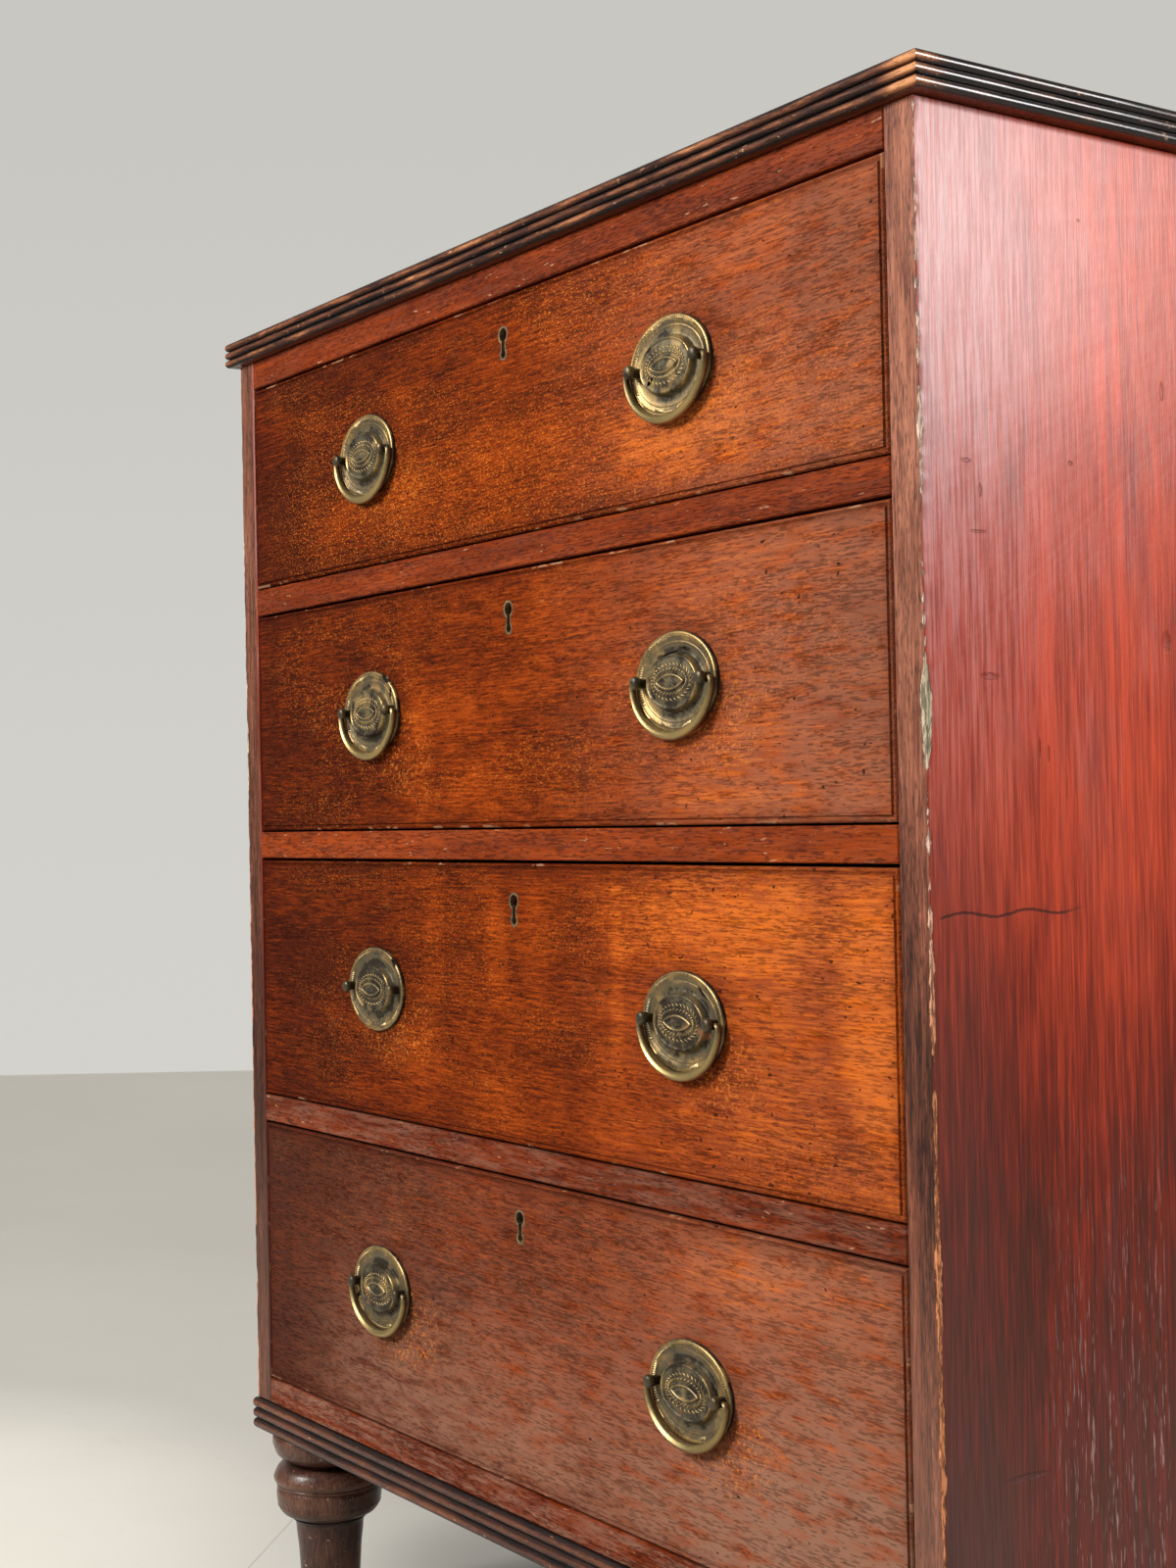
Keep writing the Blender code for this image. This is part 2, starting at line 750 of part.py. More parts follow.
def make_drawer_sides(shop, drawer, parent):
    for label, hand in (("left", -1), ("right", 1)):
        name = "%s_side_%s" % (drawer.name, label)
        mesh = turn_yz(flat_mesh(name, [side_outline(drawer)], LINING_THICKNESS))
        x = hand * (drawer.half - LINING_THICKNESS / 2)
        item = shop.add(name, mesh, "lining_oak", parent, (x, 0.0, 0.0))
        inner = drawer.half - LINING_THICKNESS
        low = (inner - OVERRUN, drawer.back_of_front - OVERRUN, drawer.bottom_low - FIT)
        high = (inner + BOTTOM_GROOVE, drawer.rear + OVERRUN, drawer.bottom_high + FIT)
        if hand < 0:
            low, high = (-high[0],) + low[1:], (-low[0],) + high[1:]
        cut(item, cutter_box(shop, "%s groove %s" % (drawer.name, label), low, high))


def make_drawer_back(shop, drawer, parent):
    name = drawer.name + "_back"
    item = board(
        shop,
        name,
        (-drawer.half, drawer.rear - LINING_THICKNESS, drawer.bottom_high + FIT),
        (drawer.half, drawer.rear, drawer.side_high),
        "lining_oak",
        parent,
    )
    for label, hand in (("left", -1), ("right", 1)):
        cut(item, tail_cutter(shop, drawer, hand, "%s back socket %s" % (drawer.name, label), False))


def make_drawer_bottom(shop, drawer, parent):
    half = drawer.half - LINING_THICKNESS + BOTTOM_GROOVE - FIT
    board(
        shop,
        drawer.name + "_bottom",
        (-half, drawer.back_of_front - BOTTOM_GROOVE + FIT, drawer.bottom_low),
        (half, drawer.rear, drawer.bottom_high),
        "lining_oak",
        parent,
    )


def make_escutcheon(shop, drawer, parent):
    """The brass thread that lines the keyhole."""
    name = drawer.name + "_escutcheon"
    outlines = [keyhole_outline(0.0), keyhole_outline(-KEYHOLE_WALL)]
    mesh = turn_xz(flat_mesh(name, outlines, KEYHOLE_DEPTH))
    smooth(mesh)
    shop.add(name, mesh, "brass_thread", parent, (0.0, FRONT_Y + KEYHOLE_DEPTH / 2, drawer.key_z))


def make_lock(shop, drawer, parent):
    """A lock case let into the back of the front, with its selvage in the top edge."""
    name = drawer.name + "_lock"
    near = FRONT_Y + FRONT_THICKNESS - LOCK_THICKNESS
    item = board(
        shop,
        name,
        (-LOCK_WIDTH / 2, near, drawer.front_high - LOCK_HEIGHT),
        (LOCK_WIDTH / 2, drawer.back_of_front, drawer.front_high - SELVAGE_THICKNESS / 2),
        "iron_lock",
        parent,
    )
    selvage = cutter_box(
        shop,
        drawer.name + " selvage",
        (-SELVAGE_WIDTH / 2, near, drawer.front_high - SELVAGE_THICKNESS),
        (SELVAGE_WIDTH / 2, drawer.back_of_front, drawer.front_high),
    )
    cut(item, selvage, "UNION")
    low = FRONT_THICKNESS - LOCK_THICKNESS - OVERRUN
    high = FRONT_THICKNESS - LOCK_THICKNESS + LOCK_KEY_DEPTH
    cut(item, keyhole_cutter(shop, drawer, "lock keyhole", -KEYHOLE_WALL, low, high))


def plate_loop(width_share, height_share, depth_share, pointed):
    """An oval about the plate's middle that narrows to two points as pointed nears one."""
    points = []
    for step in range(OVAL_STEPS):
        turn = math.tau * step / OVAL_STEPS
        across = math.cos(turn) * width_share * PLATE_WIDTH / 2
        rise = math.copysign(abs(math.sin(turn)) ** (1 + pointed), math.sin(turn))
        y = -FIT - depth_share * (BOSS_HEIGHT - FIT)
        points.append((across, y, rise * height_share * PLATE_HEIGHT / 2))
    return points


def post_mesh():
    """A post with a domed head, turned about its length and laid along -Y."""
    neck = POST_LENGTH - POST_HEAD_LENGTH
    shoulder = POST_LENGTH - POST_HEAD_LENGTH / 2
    flat = (POST_HEAD_RADIUS + POST_RADIUS) / 2
    profile = [
        (0.0, POST_LENGTH),
        (flat, POST_LENGTH - POST_HEAD_LENGTH / 4),
        (POST_HEAD_RADIUS, shoulder),
        (POST_RADIUS, neck),
        (POST_RADIUS, 2 * FIT),
        (0.0, 2 * FIT),
    ]
    mesh = turned_mesh("post", profile, POST_STEPS)
    mesh.transform(Matrix.Rotation(math.pi / 2, 4, "X"))
    return mesh


def pin_hole_mesh():
    """A short hole along X for the end of a bail."""
    length = POST_RADIUS + OVERRUN
    radius = BAIL_PIN_RADIUS + FIT
    profile = [(0.0, length), (radius, length), (radius, 0.0), (0.0, 0.0)]
    mesh = turned_mesh("pin hole", profile, POST_STEPS)
    mesh.transform(Matrix.Rotation(math.pi / 2, 4, "Y"))
    return mesh


def make_plate_mesh(shop):
    """The stamped oval plate with its two posts, drilled for the bail."""
    mesh = raised_mesh("plate", [plate_loop(*shares) for shares in PLATE_RING_SHARES])
    item = shop.add_cutter("plate pattern", mesh)
    for label, hand in (("left", -1), ("right", 1)):
        x = hand * POST_SPAN / 2
        cut(item, shop.add_cutter("post " + label, post_mesh(), (x, 0.0, POST_RISE)), "UNION")
        hole = pin_hole_mesh()
        if hand < 0:
            hole.transform(Matrix.Rotation(math.pi, 4, "Z"))
        start = x + hand * (POST_RADIUS - BAIL_PIN_REACH - FIT)
        cut(item, shop.add_cutter("pin hole " + label, hole, (start, -BAIL_OUT, POST_RISE)))
    plate = evaluated_mesh(item)
    plate.name = "plate"
    plate.materials.clear()
    smooth(plate)
    return plate


def bail_points():
    """Centre line of a bail about its hinge, with the radius at each point."""
    half = BAIL_WIDTH / 2
    pin_tip = POST_SPAN / 2 + POST_RADIUS - BAIL_PIN_REACH
    start = math.asin(BAIL_CORNER / BAIL_DROP)
    right = [
        (pin_tip, 0.0, BAIL_PIN_RADIUS),
        (half - BAIL_CORNER, 0.0, BAIL_PIN_RADIUS),
        (half - BAIL_CORNER / 4, -BAIL_CORNER / 4, BAIL_END_RADIUS),
    ]
    arc = []
    for step in range(BAIL_POINTS):
        turn = start + (math.pi - 2 * start) * step / (BAIL_POINTS - 1)
        swell = math.sin(turn)
        radius = BAIL_END_RADIUS + (BAIL_MIDDLE_RADIUS - BAIL_END_RADIUS) * swell
        arc.append((half * math.cos(turn), -BAIL_DROP * math.sin(turn), radius))
    left = [(-x, z, radius) for x, z, radius in reversed(right)]
    return right + arc + left


def make_bail_mesh():
    """A bail that swells towards its middle, its ends turned in to the posts."""
    curve = bpy.data.curves.new("bail", "CURVE")
    curve.dimensions = "3D"
    curve.bevel_depth = 1.0
    curve.bevel_resolution = 2
    curve.use_fill_caps = True
    points = bail_points()
    spline = curve.splines.new("POLY")
    spline.points.add(len(points) - 1)
    for point, (x, z, radius) in zip(spline.points, points):
        point.co = (x, 0.0, z, 1.0)
        point.radius = radius
    item = bpy.data.objects.new("bail", curve)
    bpy.context.scene.collection.objects.link(item)
    mesh = evaluated_mesh(item)
    mesh.name = "bail"
    weld(mesh)
    smooth(mesh)
    bpy.data.objects.remove(item, do_unlink=True)
    return mesh


def has_bail(number, label):
    """The third drawer's left plate has lost its bail."""
    return not (number == 3 and label == "left")


def make_handles(shop, drawer, parent, plate, bail):
    for label, hand in (("left", -1), ("right", 1)):
        x = hand * HANDLE_REACH
        shop.add(
            "%s_plate_%s" % (drawer.name, label),
            plate,
            "brass_plate",
            parent,
            (x, FRONT_Y, drawer.handle_z),
        )
        if has_bail(drawer.number, label):
            shop.add(
                "%s_bail_%s" % (drawer.name, label),
                bail,
                "brass_bail",
                parent,
                (x, FRONT_Y - BAIL_OUT, drawer.handle_z + POST_RISE),
            )


def make_drawers(shop):
    plate = make_plate_mesh(shop)
    bail = make_bail_mesh()
    for number in range(1, len(DRAWER_HEIGHTS) + 1):
        drawer = Drawer(number)
        parent = bpy.data.objects.new(drawer.name, None)
        shop.parts.objects.link(parent)
        make_drawer_front(shop, drawer, parent)
        make_drawer_sides(shop, drawer, parent)
        make_drawer_back(shop, drawer, parent)
        make_drawer_bottom(shop, drawer, parent)
        make_escutcheon(shop, drawer, parent)
        make_lock(shop, drawer, parent)
        make_handles(shop, drawer, parent, plate, bail)


def main():
    clear_scene()
    shop = Shop()
    make_side(shop, "side_left", -1)
    make_side(shop, "side_right", 1)
    make_top(shop)
    make_back(shop)
    make_top_rail(shop)
    for index, floor in enumerate(FLOORS[:-1]):
        make_divider(shop, "divider_%d" % (index + 1), floor, RAIL_HEIGHT)
    make_divider(shop, "bottom", FLOOR_Z, BOTTOM_RAIL_HEIGHT)
    members = make_base(shop)
    make_feet(shop, members)
    make_drawers(shop)


main()
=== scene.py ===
"""Campaign chest, finished: old mahogany, stamped brass plates and swing bails.

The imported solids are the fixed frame. Pieces with curves, wear and ornament are
modelled here in their place, and every solid that stays gets its own finish.
"""

import json
import math

import bmesh
import bpy
from bpy.props import FloatProperty, FloatVectorProperty, IntProperty, PointerProperty
from mathutils import Matrix, Vector


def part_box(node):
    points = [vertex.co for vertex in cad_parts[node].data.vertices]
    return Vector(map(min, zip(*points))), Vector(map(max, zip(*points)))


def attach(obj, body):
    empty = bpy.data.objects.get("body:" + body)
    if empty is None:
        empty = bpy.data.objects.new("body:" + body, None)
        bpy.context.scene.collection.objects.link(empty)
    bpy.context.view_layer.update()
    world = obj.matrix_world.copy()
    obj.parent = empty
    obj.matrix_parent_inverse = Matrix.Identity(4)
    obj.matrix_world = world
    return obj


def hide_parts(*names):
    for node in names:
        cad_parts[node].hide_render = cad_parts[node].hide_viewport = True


bl_info = {
    "name": "Campaign Chest",
    "version": (1, 0, 0),
    "blender": (4, 5, 0),
    "location": "View3D > Sidebar > Chest",
    "description": "Models the finish, fittings and wear of a mahogany campaign chest",
    "category": "Object",
}

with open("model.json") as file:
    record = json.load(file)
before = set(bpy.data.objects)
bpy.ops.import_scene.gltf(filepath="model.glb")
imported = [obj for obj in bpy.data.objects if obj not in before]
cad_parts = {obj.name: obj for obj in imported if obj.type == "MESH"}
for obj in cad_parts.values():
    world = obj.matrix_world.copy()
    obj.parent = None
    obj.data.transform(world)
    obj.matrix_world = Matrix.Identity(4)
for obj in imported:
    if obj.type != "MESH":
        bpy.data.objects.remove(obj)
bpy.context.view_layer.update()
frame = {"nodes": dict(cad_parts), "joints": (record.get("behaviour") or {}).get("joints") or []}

DRAWERS = (1, 2, 3, 4)
HANDS = (("left", -1), ("right", 1))
ORIGIN = (0.0, 0.0, 0.0)

# Planes of the drawer fronts, of the outer face of a side and of its back edge
FACE_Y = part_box("drawer_1_front")[0].y
SIDE_X, BACK_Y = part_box("side_right")[1].xy

# Gap under a piece that sits on another, and a post's distance from its plate's middle
FIT = 0.0003
POST_REACH = 0.0358


def joint_place(name):
    """Where a joint's axis passes."""
    found = [joint for joint in frame["joints"] if joint["name"] == name]
    return Vector(found[0]["pos_m"])


def handle_places():
    """Number, hand's name, hand's sign and middle of each oval plate."""
    for number in DRAWERS:
        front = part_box("drawer_%d_front" % number)
        for label, hand in HANDS:
            low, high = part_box("drawer_%d_plate_%s" % (number, label))
            middle = Vector(((low.x + high.x) / 2, FACE_Y, (front[0].z + front[1].z) / 2))
            yield number, label, hand, middle


# Settings that a user would change


def colour_setting(name, description, default):
    return FloatVectorProperty(name=name, description=description, default=default, subtype="COLOR")


def angle_setting(name, description, degrees):
    return FloatProperty(
        name=name, description=description, default=math.radians(degrees), subtype="ANGLE"
    )


def count_setting(name, description, default, least):
    return IntProperty(name=name, description=description, default=default, min=least)


class StageSettings(bpy.types.PropertyGroup):
    eye: FloatVectorProperty(
        name="Eye", description="Place of the camera", default=(1.3726, -1.0978, 0.7102),
        subtype="XYZ", unit="LENGTH",
    )
    turn: angle_setting("Turn", "Camera's heading from straight at the back", 55.481)
    rise: angle_setting("Rise", "Camera's slope above level", 0.834)
    lean: angle_setting("Lean", "Camera's roll about its own line of sight", 1.131)
    lens: FloatProperty(
        name="Lens", description="Focal length on a 36 mm frame", default=50.738, min=10.0
    )
    wall_distance: FloatProperty(
        name="Wall", description="From the camera to the wall behind", default=6.35, unit="LENGTH"
    )
    wall_colour: colour_setting("Wall colour", "Pale grey wall", (0.62, 0.61, 0.575))
    floor_colour: colour_setting("Floor colour", "Pale floor", (0.66, 0.63, 0.56))
    key_power: FloatProperty(
        name="Key", description="Power of the soft lamp before the chest", default=128.0
    )
    sheen_power: FloatProperty(
        name="Sheen", description="Power of the lamp beside the chest", default=40.0
    )
    sky_power: FloatProperty(name="Sky", description="Strength of the even light", default=0.46)


class WoodSettings(bpy.types.PropertyGroup):
    deep: colour_setting("Deep", "Darkest figure of the fronts", (0.052, 0.0075, 0.0028))
    red: colour_setting("Red", "Red brown of the fronts", (0.170, 0.0235, 0.0026))
    warm: colour_setting("Warm", "Warm brown of the fronts", (0.305, 0.047, 0.0045))
    bright: colour_setting("Bright", "Orange where the polish is thin", (0.62, 0.130, 0.0100))
    side_red: colour_setting("Side red", "Red of the side panels", (0.42, 0.043, 0.0145))
    bare: colour_setting("Bare wood", "Wood where an edge is worn through", (0.56, 0.31, 0.17))
    grime: colour_setting("Grime", "Dirt in corners and pores", (0.013, 0.006, 0.004))
    arris_wear: FloatProperty(
        name="Edge wear", description="How deep the front edges of the sides are worn",
        default=0.0022, unit="LENGTH",
    )
    reeds: count_setting("Reeds", "Reeds on the top's edge and on the base", 3, 1)
    reed_steps: count_setting("Reed steps", "Facets round one reed", 10, 4)
    turning_steps: count_setting("Turning steps", "Facets round a foot", 64, 16)


class BrassSettings(bpy.types.PropertyGroup):
    gold: colour_setting("Gold", "Brass where it is rubbed", (0.45, 0.295, 0.110))
    dull: colour_setting("Dull", "Brown grey tarnish", (0.20, 0.142, 0.075))
    green: colour_setting("Green", "Green grey bloom in the hollows", (0.12, 0.098, 0.055))
    copper: colour_setting("Copper", "Copper showing through", (0.42, 0.17, 0.075))
    # Near black for dirt and for painted shade in the deepest hollows, the tears and the posts'
    # necks
    soot: colour_setting("Soot", "Black dirt in the deepest places", (0.026, 0.018, 0.010))
    plate_points: count_setting("Plate points", "Points round an oval plate", 224, 32)
    leaves: count_setting("Leaves", "Leaves in one row of the wreath", 30, 8)


# Finishes


def sums(operation, turned=False):
    """What an arithmetic sign does between a tone and a number or another tone."""

    def result(tone, other):
        pair = (other, tone) if turned else (tone, other)
        return tone.finish.sum(operation, *pair)

    return result


class Tone:
    """One value or colour in a finish, written in sums as an ordinary number is."""

    def __init__(self, finish, socket):
        self.finish = finish
        self.socket = socket

    __add__, __radd__ = sums("ADD"), sums("ADD", True)
    __sub__, __rsub__ = sums("SUBTRACT"), sums("SUBTRACT", True)
    __mul__, __rmul__ = sums("MULTIPLY"), sums("MULTIPLY", True)

    def __abs__(self):
        return self.finish.sum("ABSOLUTE", self)


class Finish:
    """A material, and the nodes that give it colour, gloss and relief."""

    def __init__(self, name):
        self.material = bpy.data.materials.new(name)
        self.material.use_nodes = True
        self.tree = self.material.node_tree
        self.shader = self.tree.nodes["Principled BSDF"]
        self.here = self.node("ShaderNodeTexCoord", output="Object")
        self.x, self.y, self.z = self.split(self.here)

    def node(self, kind, settings=None, inputs=None, output=0):
        """Adds a node with its settings, feeds its sockets and gives back one output."""
        made = self.tree.nodes.new(kind)
        for key, value in (settings or {}).items():
            if key == "stops":
                self.set_stops(made.color_ramp, value)
            else:
                setattr(made, key, value)
        for key, value in (inputs or {}).items():
            self.feed(made.inputs[key], value)
        return Tone(self, made.outputs[output])

    def feed(self, socket, value):
        if isinstance(value, Tone):
            self.tree.links.new(value.socket, socket)
        elif socket.type == "RGBA" and len(value) == 3:
            socket.default_value = (*value, 1.0)
        else:
            socket.default_value = value

    def set_stops(self, ramp, stops):
        while len(ramp.elements) < len(stops):
            ramp.elements.new(0.5)
        for element, (place, shade) in zip(ramp.elements, stops):
            element.position = place
            element.color = (*shade, 1.0)

    def sum(self, operation, *values):
        return self.node("ShaderNodeMath", {"operation": operation}, dict(enumerate(values)))

    def most(self, first, *others):
        for value in others:
            first = self.sum("MAXIMUM", first, value)
        return first

    def split(self, vector):
        parts = self.tree.nodes.new("ShaderNodeSeparateXYZ")
        self.feed(parts.inputs[0], vector)
        return [Tone(self, part) for part in parts.outputs]

    def noted(self, name):
        """A number that the modelling wrote on the points of the piece."""
        return self.node("ShaderNodeAttribute", {"attribute_name": name}, output="Fac")

    def facing(self):
        """How far a surface faces the back, from -1 for the front to 1."""
        return self.split(self.node("ShaderNodeNewGeometry", output="True Normal"))[1]

    def cloud(self, scale, detail=3.0, rough=0.5, shift=ORIGIN, warp=0.0):
        """Soft noise about one half, with its own scale along each axis."""
        if not isinstance(scale, tuple):
            scale = (scale, scale, scale)
        settings = {"operation": "MULTIPLY_ADD"}
        place = self.node("ShaderNodeVectorMath", settings, {0: self.here, 1: scale, 2: shift})
        inputs = {"Vector": place, "Scale": 1.0, "Detail": detail}
        inputs.update({"Roughness": rough, "Distortion": warp})
        return self.node("ShaderNodeTexNoise", None, inputs)

    def rise(self, value, low, high):
        """Nought below low and one above high, with a smooth slope between them."""
        if low > high:
            return 1.0 - self.rise(value, high, low)
        settings = {"interpolation_type": "SMOOTHSTEP"}
        inputs = {"Value": value, "From Min": low, "From Max": high}
        return self.node("ShaderNodeMapRange", settings, inputs)

    def spots(self, low, high, *how):
        """Where a cloud rises above a level."""
        return self.rise(self.cloud(*how), low, high)

    def level(self, base, *clouds):
        """A base value moved up and down by clouds, each by its own amount."""
        for cloud, amount in clouds:
            base = base + (cloud - 0.5) * amount
        return base

    def ramp(self, value, *stops):
        return self.node("ShaderNodeValToRGB", {"stops": stops}, {"Fac": value})

    def mix(self, amount, first, second):
        inputs = {0: amount, 6: first, 7: second}
        return self.node("ShaderNodeMix", {"data_type": "RGBA"}, inputs, output=2)

    def tint(self, shade, factor):
        """A colour made lighter or darker by a number."""
        inputs = {0: shade, "Scale": factor}
        return self.node("ShaderNodeVectorMath", {"operation": "SCALE"}, inputs)

    def over(self, base, *layers):
        """Lays colours over a base by their amounts. A number tints what lies below it."""
        for amount, shade in layers:
            if isinstance(shade, float):
                shade = self.tint(base, shade)
            base = self.mix(amount, base, shade)
        return base

    def patch(self, across, up, centre, reach, ragged, noise):
        """A soft, ragged oval patch in the plane of two of the axes."""
        first = (across - centre[0]) * (1.0 / reach[0])
        second = (up - centre[1]) * (1.0 / reach[1])
        distance = first * first + second * second
        return self.rise(distance + (noise - 0.5) * ragged, 1.0, 0.0)

    def line(self, value, place, width):
        """A thin line where a value passes a place."""
        return self.rise(abs(value - place), width, width * 0.3)

    def wood(self, axis, seed):
        """Streaks, pores and crowding of open-grained wood that runs along an axis."""
        shift = (seed * 3.1, seed * 1.7, seed * 2.3)
        streak = self.cloud(grain_scale(axis, 34.0, 640.0), 4.0, 0.62, shift)
        pores = self.cloud(grain_scale(axis, 120.0, 880.0), 2.0, 0.5, shift)
        crowd = self.cloud(grain_scale(axis, 12.0, 60.0), 2.0, 0.5, shift)
        return streak, self.rise(pores + (crowd - 0.5) * 0.3, 0.52, 0.61), crowd

    def relief(self, height, distance):
        inputs = {"Height": height, "Distance": distance, "Strength": 1.0}
        self.feed(self.shader.inputs["Normal"], self.node("ShaderNodeBump", None, inputs))

    def set(self, **sockets):
        for name, value in sockets.items():
            self.feed(self.shader.inputs[name.replace("_", " ")], value)
        return self.material


def grain_scale(axis, along, across):
    """Scales of a pattern that runs along one axis of the wood."""
    return tuple(along if name == axis else across for name in "xyz")


# Each drawer's front: warmth, rubbed lace, dust, painted sheen towards its right end, and its
# patches as rows of middle x, middle z above the front's foot, half width, half height and strength
FRONTS = {
    1: (0.15, 1.0, 0.0, 0.44, (
        (-0.02, 0.045, 0.36, 0.05, 0.34), (0.22, 0.045, 0.12, 0.05, 0.30),
        (0.04, 0.14, 0.07, 0.035, 0.16), (0.25, 0.15, 0.10, 0.03, 0.14),
        (-0.15, 0.11, 0.07, 0.05, 0.12), (-0.10, 0.08, 0.05, 0.06, -0.12),
        (0.37, 0.11, 0.10, 0.06, -0.12),
    )),
    2: (0.17, 0.7, 0.0, 0.54, (
        (-0.13, 0.13, 0.06, 0.06, 0.16), (-0.09, 0.085, 0.08, 0.03, 0.26),
        (-0.09, 0.03, 0.10, 0.03, 0.20), (0.25, 0.018, 0.10, 0.02, 0.16),
        (0.03, 0.13, 0.04, 0.06, 0.14), (0.19, 0.14, 0.12, 0.05, 0.06),
        (0.06, 0.06, 0.07, 0.06, -0.16), (0.38, 0.09, 0.045, 0.07, -0.24),
    )),
    3: (0.22, 0.6, 0.0, 0.18, (
        (-0.115, 0.145, 0.02, 0.07, 0.26), (-0.025, 0.14, 0.02, 0.06, 0.30),
        (0.03, 0.15, 0.03, 0.05, 0.20), (0.13, 0.13, 0.012, 0.08, 0.22),
        (0.23, 0.165, 0.16, 0.04, 0.30), (0.395, 0.12, 0.05, 0.10, 0.36),
        (-0.14, 0.055, 0.06, 0.03, 0.22), (-0.02, 0.03, 0.04, 0.03, 0.14),
        (-0.33, 0.07, 0.13, 0.11, -0.12), (0.03, 0.06, 0.10, 0.05, -0.14),
        (0.31, 0.10, 0.07, 0.04, -0.16),
    )),
    4: (0.16, 0.3, 0.8, 0.46, (
        (0.27, 0.19, 0.09, 0.03, 0.18), (0.00, 0.07, 0.10, 0.04, 0.10),
        (0.12, 0.14, 0.10, 0.06, 0.08), (0.38, 0.12, 0.05, 0.12, -0.12),
    )),
}


def front_finish(number, wood):
    """Polished mahogany with its figure, dirt round the border, rubbed places, painted sheen and
    shadows.
    """
    finish = Finish("mahogany_front_%d" % number)
    low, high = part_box("drawer_%d_front" % number)
    warmth, rubbed, dusty, sheen_haze, patches = FRONTS[number]
    seed = number * 4.7
    shift = (seed, seed * 2.0, seed * 0.6)
    streak, pore, _ = finish.wood("x", seed)
    broad = finish.cloud((3.0, 3.0, 17.0), 4.0, 0.55, shift, 0.6)
    banded = finish.cloud((17.0, 5.0, 4.0), 3.0, 0.5, shift, 0.4)
    ragged = finish.cloud((28.0, 28.0, 44.0), 4.0, 0.6, shift)
    value = finish.level(warmth, (broad, 0.6), (banded, 0.35), (streak, 1.15))
    # Painted light: each front is darker at its left end and lighter towards its right.
    value = value + finish.rise(finish.x, -0.29, 0.02) * 0.20
    value = value + finish.rise(finish.x, 0.0, 0.3) * 0.26
    for x, z, wide, tall, strength in patches:
        spot = finish.patch(finish.x, finish.z, (x, low.z + z), (wide, tall), 1.6, ragged)
        value = value + spot * (strength * 0.55)
    shade = finish.ramp(
        value, (0.12, wood.deep), (0.42, wood.red), (0.66, wood.warm), (0.98, wood.bright)
    )
    lace = finish.cloud((380.0, 60.0, 760.0), 3.0, 0.6, shift, 0.6)
    laced = finish.spots(0.44, 0.6, (5.0, 3.0, 16.0), 2.0, 0.5, (seed * 2, 0.0, seed))
    if number == 1:
        # The top drawer is rubbed all along its lower half
        laced = finish.most(laced, finish.rise(finish.z, low.z + 0.125, low.z + 0.06))
    laced = (laced * 0.7 + 0.3) * finish.rise(finish.x, -0.44, -0.3)
    dust = finish.cloud((30.0, 30.0, 130.0), 3.0, 0.5, shift)
    settled = finish.rise(finish.z, low.z + 0.19, low.z) * 0.75 + 0.25
    settled = finish.rise(finish.x, -0.44, -0.2) * settled * dusty * (0.7 + banded * 0.6)
    # The dust coloured layer is also a painted sheen that lightens the right end of each front.
    sheen_and_dust = finish.rise(finish.x, 0.0, 0.4) * sheen_haze + settled
    shade = finish.over(
        shade,
        (finish.rise(lace, 0.53, 0.66) * laced * (0.6 * rubbed), (0.70, 0.19, 0.02)),
        (finish.rise(lace, 0.47, 0.36) * laced * (0.5 * rubbed), wood.deep),
        (finish.rise(dust, 0.12, 0.64) * sheen_and_dust, (0.27, 0.125, 0.078)),
    )
    if number == 4:
        # The bottom drawer is darker towards its left end
        left = finish.rise(finish.x, -0.20, -0.42)
        shade = finish.mix(left * 0.62, shade, (0.058, 0.024, 0.016))
    scuffs = finish.cloud((90.0, 50.0, 210.0), 3.0, 0.6, (0.0, seed, seed), 1.2)
    scuffed = finish.spots(0.58, 0.7, (13.0, 9.0, 20.0), 2.0, 0.5, (seed, 0.0, 0.0))
    polish_and_shadow, rub = handle_dirt_and_shadow(finish, number, ragged)
    across = finish.sum("MINIMUM", finish.x - low.x, high.x - finish.x)
    upright = finish.sum("MINIMUM", finish.z - low.z, high.z - finish.z)
    nearest = finish.sum("MINIMUM", across, upright)
    dirt = finish.rise(nearest + (ragged - 0.5) * 0.0224, 0.016, 0.0)
    quirk = finish.line(nearest, 0.0038, 0.0008) * finish.rise(ragged, 0.4, 0.6)
    chips = finish.spots(0.60, 0.66, (36.0, 36.0, 70.0), 3.0, 0.6, (seed, seed, 0.0))
    shade = finish.over(
        shade,
        (pore * (0.60 - dusty * 0.06), 0.26),
        (finish.line(scuffs, 0.5, 0.006) * scuffed * 0.5, (0.68, 0.25, 0.07)),
        # Dark polish round each plate, with the plate's painted shadow
        (polish_and_shadow * 0.5, wood.deep),
        (rub * 0.45, (0.74, 0.22, 0.03)),
        (finish.spots(0.735, 0.77, (160.0, 160.0, 260.0), 1.0, 0.4, shift) * 0.8, wood.grime),
        (dirt * 0.32, wood.deep),
        (quirk * 0.45, wood.grime),
        (finish.rise(nearest, 0.0024, 0.0008) * chips * 0.5, wood.bare),
    )
    finish.relief(streak * 0.35 - pore * 0.9, 0.0001)
    gloss = 0.42 + (ragged - 0.5) * 0.2 + pore * 0.18 + dirt * 0.12 + dusty * 0.3
    return finish.set(Base_Color=shade, Roughness=gloss, Specular_IOR_Level=0.02)


